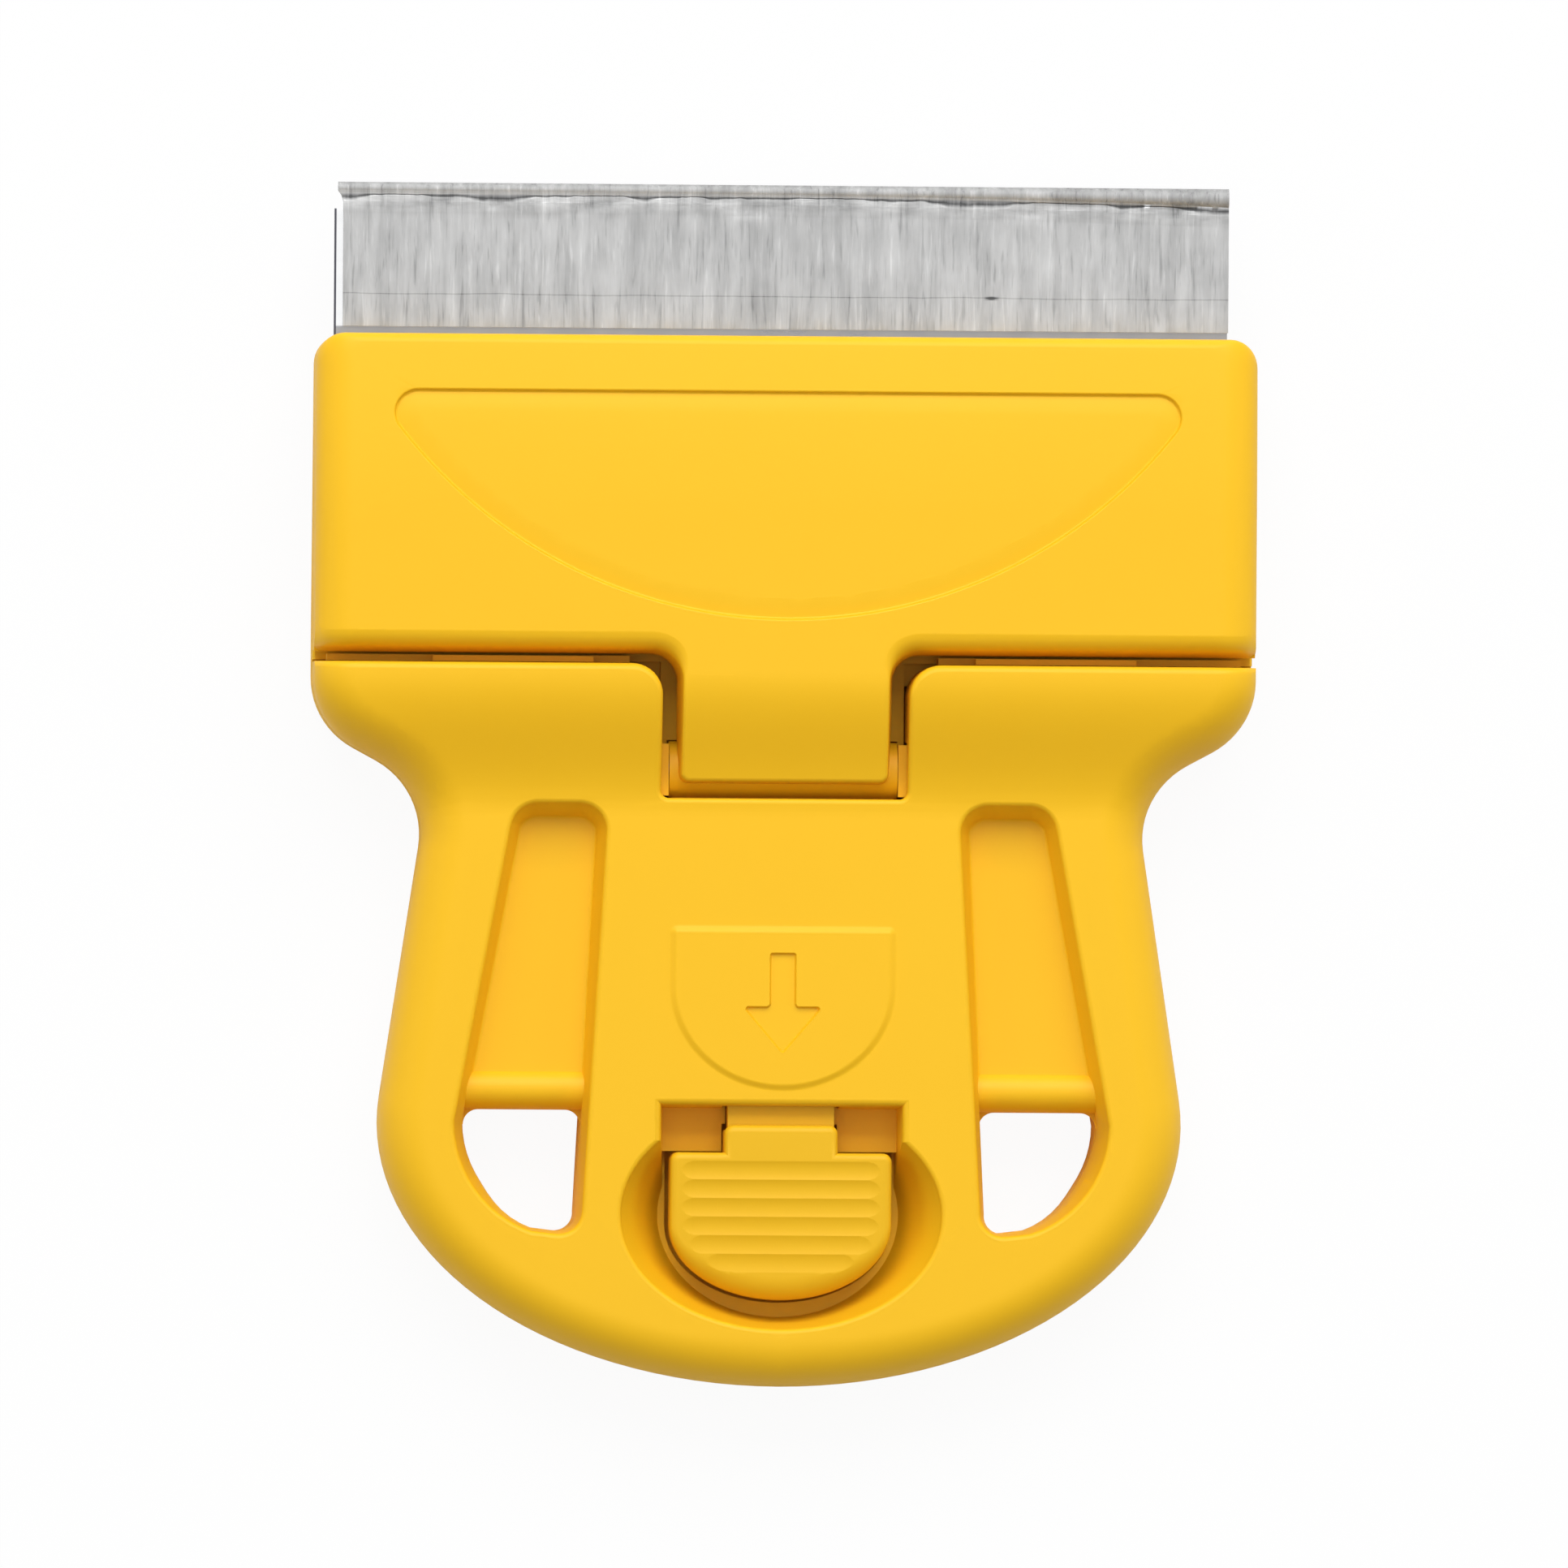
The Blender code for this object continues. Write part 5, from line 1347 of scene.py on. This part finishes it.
class Finish:
    """A material under construction."""

    def __init__(self, name):
        self.material = bpy.data.materials.new(name)
        self.material.use_nodes = True
        self.tree = self.material.node_tree
        self.shader = self.tree.nodes["Principled BSDF"]
        self.place = self.node("ShaderNodeTexCoord").outputs["Object"]

    def node(self, kind, settings=(), sockets=()):
        made = self.tree.nodes.new(kind)
        for name, value in dict(settings).items():
            setattr(made, name, value)
        for name, value in dict(sockets).items():
            self.feed(made.inputs[name], value)
        return made

    def feed(self, socket, value):
        if isinstance(value, Number):
            value = value.socket
        if isinstance(value, bpy.types.NodeSocket):
            self.tree.links.new(value, socket)
        else:
            socket.default_value = value

    def maths(self, operation, first, second):
        made = self.node("ShaderNodeMath", {"operation": operation}, {0: first, 1: second})
        return Number(self, made.outputs[0])

    def clamped(self, value):
        made = self.node("ShaderNodeClamp", (), {"Value": value})
        return Number(self, made.outputs[0])

    def noise(self, scale, stretch, detail, roughness=0.5, distortion=0.0):
        scaled = self.node("ShaderNodeMapping", (), {"Vector": self.place, "Scale": stretch})
        sockets = {"Vector": scaled.outputs[0], "Scale": scale, "Detail": detail, "Roughness": roughness}
        made = self.node("ShaderNodeTexNoise", (), {**sockets, "Distortion": distortion})
        return Number(self, made.outputs["Fac"])

    def parts(self):
        made = self.node("ShaderNodeSeparateXYZ", (), {"Vector": self.place})
        return [Number(self, socket) for socket in made.outputs]

    def band(self, value, middle, half):
        """Rises to 1 in the middle of a band, and is 0 outside it."""
        away = self.maths("ABSOLUTE", value - middle, 0.0)
        return self.clamped(1 - self.maths("DIVIDE", away, half))

    def rise(self, past, reach):
        """Is 0 before a place and 1 from a short reach past it."""
        return self.clamped(past * (1 / reach))

    def total(self, amounts, **patterns):
        """The sum of the patterns, each times its amount, and of the base."""
        result = amounts.get("base", 0.0)
        for name, amount in amounts.items():
            if name != "base":
                result = patterns[name] * amount + result
        return result

    def blend(self, share, first, second):
        """A mix of two colours, each a socket or red, green and blue."""
        made = self.node("ShaderNodeMix", {"data_type": "RGBA"}, {0: share})
        for place, colour in ((6, first), (7, second)):
            self.feed(made.inputs[place], (*colour, 1.0) if isinstance(colour, tuple) else colour)
        return made.outputs[2]

    def bump(self, height, distance, strength):
        sockets = {"Height": height, "Distance": distance, "Strength": strength}
        return self.node("ShaderNodeBump", (), sockets).outputs[0]

    def set(self, **values):
        for name, value in values.items():
            self.feed(self.shader.inputs[name.replace("_", " ")], value)


def satin_plastic(name, tone=1.0):
    """Moulded yellow plastic: a fine satin grain with slow changes of tone from the melt's flow."""
    finish = Finish(name)
    flow = finish.noise(*MELT_FLOW)
    cloud = finish.noise(*MELT_CLOUD)
    grain = finish.noise(*SATIN_GRAIN)
    peel = finish.noise(*ORANGE_PEEL)
    share = finish.clamped(finish.total(MELT_TONE, flow=flow, cloud=cloud))
    # A tone below 1 makes a darker copy of the yellow, used as painted shade on the button
    yellows = [tuple(value * tone for value in colour) for colour in YELLOWS]
    finish.set(Base_Color=finish.blend(share, *yellows))
    finish.set(Roughness=finish.total(SATIN_ROUGHNESS, grain=grain, cloud=cloud))
    finish.set(Normal=finish.bump(finish.total(SATIN_HEIGHT, grain=grain, peel=peel), *SATIN_BUMP))
    finish.set(Specular_IOR_Level=SATIN_SHEEN, IOR=PLASTIC_IOR)
    return finish.material


def screw_zinc():
    """Brushed and a little stained zinc, for the screws and the hinge pin."""
    finish = Finish("screw_zinc")
    brush = finish.noise(*BRUSHED)
    stain = finish.noise(*ZINC_STAIN)
    share = finish.clamped(finish.total(ZINC_TONE, brush=brush, stain=stain))
    finish.set(Base_Color=finish.blend(share, *ZINCS), Metallic=1.0)
    finish.set(Roughness=finish.total(ZINC_ROUGHNESS, brush=brush, stain=stain))
    finish.set(Normal=finish.bump(brush, *BRUSH_BUMP))
    return finish.material


def foil_finish():
    """Thin rolled sheet: fine upright crinkles with painted shade and highlights, painted shade in a crease
    and a band below the bead, a bead painted lighter, and a scored line and a nick painted dark as shade.
    """
    finish = Finish("guard_foil")
    x, y, _ = finish.parts()
    made = {name: finish.noise(*pattern) for name, pattern in FOIL_PATTERNS.items()}
    fine = made["fine"]
    sway = made["sway"]
    ripple = made["ripple"]
    along = (x + GUARD_HALF) * (1 / (2 * GUARD_HALF))
    loose = finish.maths("POWER", along, BEAD_LOOSENS)
    growth = 2 * (GUARD_END_BEAD_RADIUS - GUARD_BEAD_RADIUS)
    bead_low = GUARD_TOP_Y / 2 - 2 * GUARD_BEAD_RADIUS - loose * growth
    # The crease below the bead is painted dark: painted shade, which sags and widens where the sway noise is
    # high
    deep = finish.clamped((sway - SAG_ABOVE) * SAG_GAIN)
    crease_y = bead_low + CREASE_LIFT - deep * CREASE_SAG - ripple * CREASE_RIPPLE
    score_y = SCORE_Y + (ripple - NOISE_MIDDLE) * SCORE_RIPPLE + (sway - NOISE_MIDDLE) * SCORE_SWAY
    # Painted shade in the crinkles' low lines, and painted highlight on their crests
    made["crinkle_shade_lines"] = finish.clamped((CRINKLE_SHADE_BELOW - fine) * CRINKLE_SHADE_GAIN)
    made["crinkle_highlight"] = finish.clamped((fine - CRINKLE_HIGHLIGHT_ABOVE) * CRINKLE_HIGHLIGHT_GAIN)
    made["crease"] = finish.band(y, crease_y, CREASE_HALF + deep * CREASE_WIDENS)
    # The scored line and the nick are painted dark: painted shade in them
    made["score"] = finish.band(y, score_y, SCORE_HALF)
    made["nick"] = finish.band(x, NICK_X, NICK_HALF_LENGTH) * finish.band(y, SCORE_Y, NICK_HALF_WIDTH)
    # A band below the bead is painted darker: painted shade under the bead. It also limits the folds.
    made["near_bead"] = finish.band(y, bead_low - BELOW_BEAD, BELOW_BEAD_HALF)
    # The folds below the bead are painted lighter where they stand up: painted highlight
    made["folds"] = made["folds"] * made["near_bead"]
    # The bead is painted a little lighter: painted light. The same mask makes it rougher.
    made["on_bead"] = finish.rise(y - bead_low, BEAD_FADE)
    share = finish.clamped(finish.total(FOIL_TONE, **made))
    finish.set(Base_Color=finish.blend(share, *FOILS), Metallic=1.0)
    finish.set(Roughness=finish.total(FOIL_ROUGHNESS, **made))
    finish.set(Normal=finish.bump(finish.total(FOIL_HEIGHT, **made), *FOIL_BUMP))
    return finish.material


def ground_steel():
    """Bright blade steel, with a painted shade band of dull bluish dark steel where the jaw grips it, and a
    painted dark shade line along its left end.
    """
    finish = Finish("blade_steel")
    x, y, _ = finish.parts()
    brush = finish.noise(*BRUSHED)
    stain = finish.noise(*BLADE_STAIN)
    # Painted shade: a band of dull bluish dark steel where the blade goes under the jaw, and near-black
    # along its left end
    blued = finish.rise(SHADE_BAND_END_Y - y, SHADE_BAND_FADE)
    end_shade = finish.rise(END_SHADE_X - x, END_SHADE_FADE)
    bright = finish.blend(brush, *BRIGHT_STEELS)
    banded = finish.blend(blued, bright, finish.blend(stain, *SHADE_BAND_STEELS))
    finish.set(Base_Color=finish.blend(end_shade, banded, END_SHADE), Metallic=1.0)
    finish.set(Roughness=finish.total(BLADE_ROUGHNESS, brush=brush, stain=stain, blued=blued))
    finish.set(Normal=finish.bump(brush, *BRUSH_BUMP))
    return finish.material


def spring_wire():
    finish = Finish("spring_wire")
    stain = finish.noise(*WIRE_STAIN)
    finish.set(Base_Color=finish.blend(stain, *WIRES), Metallic=1.0)
    finish.set(Roughness=finish.total(WIRE_ROUGHNESS, stain=stain))
    return finish.material


# Putting it together

def dress(piece, node, body, material, crease=CREASE):
    """Finishes a piece, moves it to the frame's middle and lets it stand for its node."""
    clean(piece)
    piece.data.materials.clear()
    piece.data.materials.append(material)
    pick(piece)
    bpy.ops.object.shade_smooth_by_angle(angle=math.radians(crease))
    apply_modifier(piece, "WEIGHTED_NORMAL", keep_sharp=True)
    piece.location.y = -GUARD_TOP_Y / 2
    pick(piece)
    bpy.ops.object.transform_apply(location=True, rotation=True, scale=True)
    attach(piece, body)
    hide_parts(node)


def copied(piece, name, x, y):
    pick(piece)
    bpy.ops.object.duplicate(linked=False)
    bpy.context.object.location = (x, y, 0)
    return settled(name)


def repaint(node, material):
    thing = frame["nodes"][node]
    for slot in thing.material_slots:
        slot.material = material


def build():
    plastic = satin_plastic("yellow_satin_plastic")
    # The button gets a darker copy of the yellow plastic, as painted shade
    shaded_button_plastic = satin_plastic("shaded_button_satin_plastic", BUTTON_SHADE)
    steel = ground_steel()
    zinc = screw_zinc()
    foil = foil_finish()
    dress(rear_cover(), "rear_shell", "handle", plastic)
    dress(front_cover(), "front_shell", "handle", plastic, COVER_CREASE)
    dress(jaw_plate(), "clamp_jaw", "jaw", plastic)
    dress(ribbed_button(), "press_button", "jaw", shaded_button_plastic)
    dress(blade_strip(), "blade", "blade", steel)
    dress(sheet_guard(), "edge_guard", "guard", foil, GUARD_CREASE)
    screw = back_screw()
    for number, (x, y) in enumerate(SCREW_PLACES, 1):
        made = copied(screw, "back_screw_%d" % number, x, y)
        dress(made, "shell_screw_%d" % number, "handle", zinc)
    bpy.data.objects.remove(screw)
    repaint("hinge_pin", zinc)
    spring = wound_spring()
    dress(spring, "closing_spring", "handle", spring_wire())
    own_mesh(spring)


# Floor, light and camera

FLOOR_SIDE = 6.0
FLOOR_Z = -0.2 * MM
FLOOR_GLOW = 0.94
WORLD_LIGHT = 0.29

# Lamps: place, width and length, and power. All of them look at the tool's middle.
LAMPS = {
    "top_light": ((0.04, 1.04, 1.08), (1.5, 1.0), 21.5),
    "left_light": ((-1.30, 0.10, 0.75), (0.9, 0.7), 2.6),
    "right_light": ((1.30, 0.10, 0.75), (0.9, 0.7), 2.6),
    "overhead_light": ((0.0, 0.3, 3.5), (3.0, 3.0), 21.0),
}
LAMP_TARGET = Vector((0.0, 0.0, 0.01))

# Camera: a long way above the face, and turned a little as in the photo
CAMERA_HEIGHT = 3.0
PIXELS_PER_METRE = 11000.0
PICTURE_SIDE = 1932.0
SENSOR_WIDTH = 36.0
NEAREST = 0.01
FARTHEST = 20.0
FACE_Z = 0.010
CAMERA_X = 0.2 * MM
CAMERA_Y = 0.21 * MM
CAMERA_ROLL = math.radians(0.4)
CAMERA_LEFT = math.radians(2.7)
CAMERA_BELOW = math.radians(0.6)


def floor():
    """A pale floor that catches soft shadows and looks nearly white to the camera."""
    bpy.ops.object.select_all(action="DESELECT")
    bpy.ops.mesh.primitive_plane_add(size=FLOOR_SIDE, location=(0, 0, FLOOR_Z))
    made = bpy.context.object
    made.name = "floor"
    finish = Finish("pale_floor")
    finish.set(Base_Color=finish.blend(finish.noise(*FLOOR_CLOUD), *PALE_FLOOR), Roughness=FLOOR_ROUGHNESS)
    rays = finish.node("ShaderNodeLightPath")
    seen = Number(finish, rays.outputs["Is Camera Ray"]) * FLOOR_GLOW
    glow = finish.node("ShaderNodeEmission", (), {"Color": WHITE, "Strength": 1.0}).outputs[0]
    both = finish.node("ShaderNodeMixShader", (), {0: seen, 1: finish.shader.outputs[0], 2: glow})
    finish.feed(finish.tree.nodes["Material Output"].inputs["Surface"], both.outputs[0])
    made.data.materials.append(finish.material)


def lamp(name, place, size, power):
    light = bpy.data.lights.new(name, "AREA")
    light.shape = "RECTANGLE"
    light.size, light.size_y = size
    light.energy = power
    made = bpy.data.objects.new(name, light)
    bpy.context.scene.collection.objects.link(made)
    made.location = place
    made.rotation_euler = (LAMP_TARGET - Vector(place)).to_track_quat("-Z", "Y").to_euler()


def world():
    """White to the camera and through clear parts, and dimmer as a light on the tool."""
    made = bpy.data.worlds.new("studio")
    made.use_nodes = True
    bpy.context.scene.world = made
    tree = made.node_tree
    background = tree.nodes["Background"]
    rays = tree.nodes.new("ShaderNodeLightPath")
    seen = tree.nodes.new("ShaderNodeMath")
    seen.operation = "MAXIMUM"
    tree.links.new(rays.outputs["Is Camera Ray"], seen.inputs[0])
    tree.links.new(rays.outputs["Is Transmission Ray"], seen.inputs[1])
    strength = tree.nodes.new("ShaderNodeMix")
    strength.inputs[2].default_value = WORLD_LIGHT
    strength.inputs[3].default_value = 1.0
    tree.links.new(seen.outputs[0], strength.inputs[0])
    tree.links.new(strength.outputs[0], background.inputs["Strength"])
    background.inputs["Color"].default_value = WHITE


def camera():
    lens = bpy.data.cameras.new("camera")
    lens.sensor_width = SENSOR_WIDTH
    distance = CAMERA_HEIGHT - FACE_Z
    lens.lens = SENSOR_WIDTH * distance * PIXELS_PER_METRE / PICTURE_SIDE
    lens.clip_start = NEAREST
    lens.clip_end = FARTHEST
    made = bpy.data.objects.new("camera", lens)
    bpy.context.scene.collection.objects.link(made)
    made.rotation_euler = (CAMERA_BELOW, -CAMERA_LEFT, CAMERA_ROLL)
    sight = made.rotation_euler.to_matrix() @ Vector((0, 0, -1))
    made.location = Vector((CAMERA_X, CAMERA_Y, FACE_Z)) - sight * distance
    bpy.context.scene.camera = made


def studio():
    floor()
    for name, settings in LAMPS.items():
        lamp(name, *settings)
    world()
    camera()
    bpy.context.scene.view_settings.view_transform = "Standard"


build()
studio()
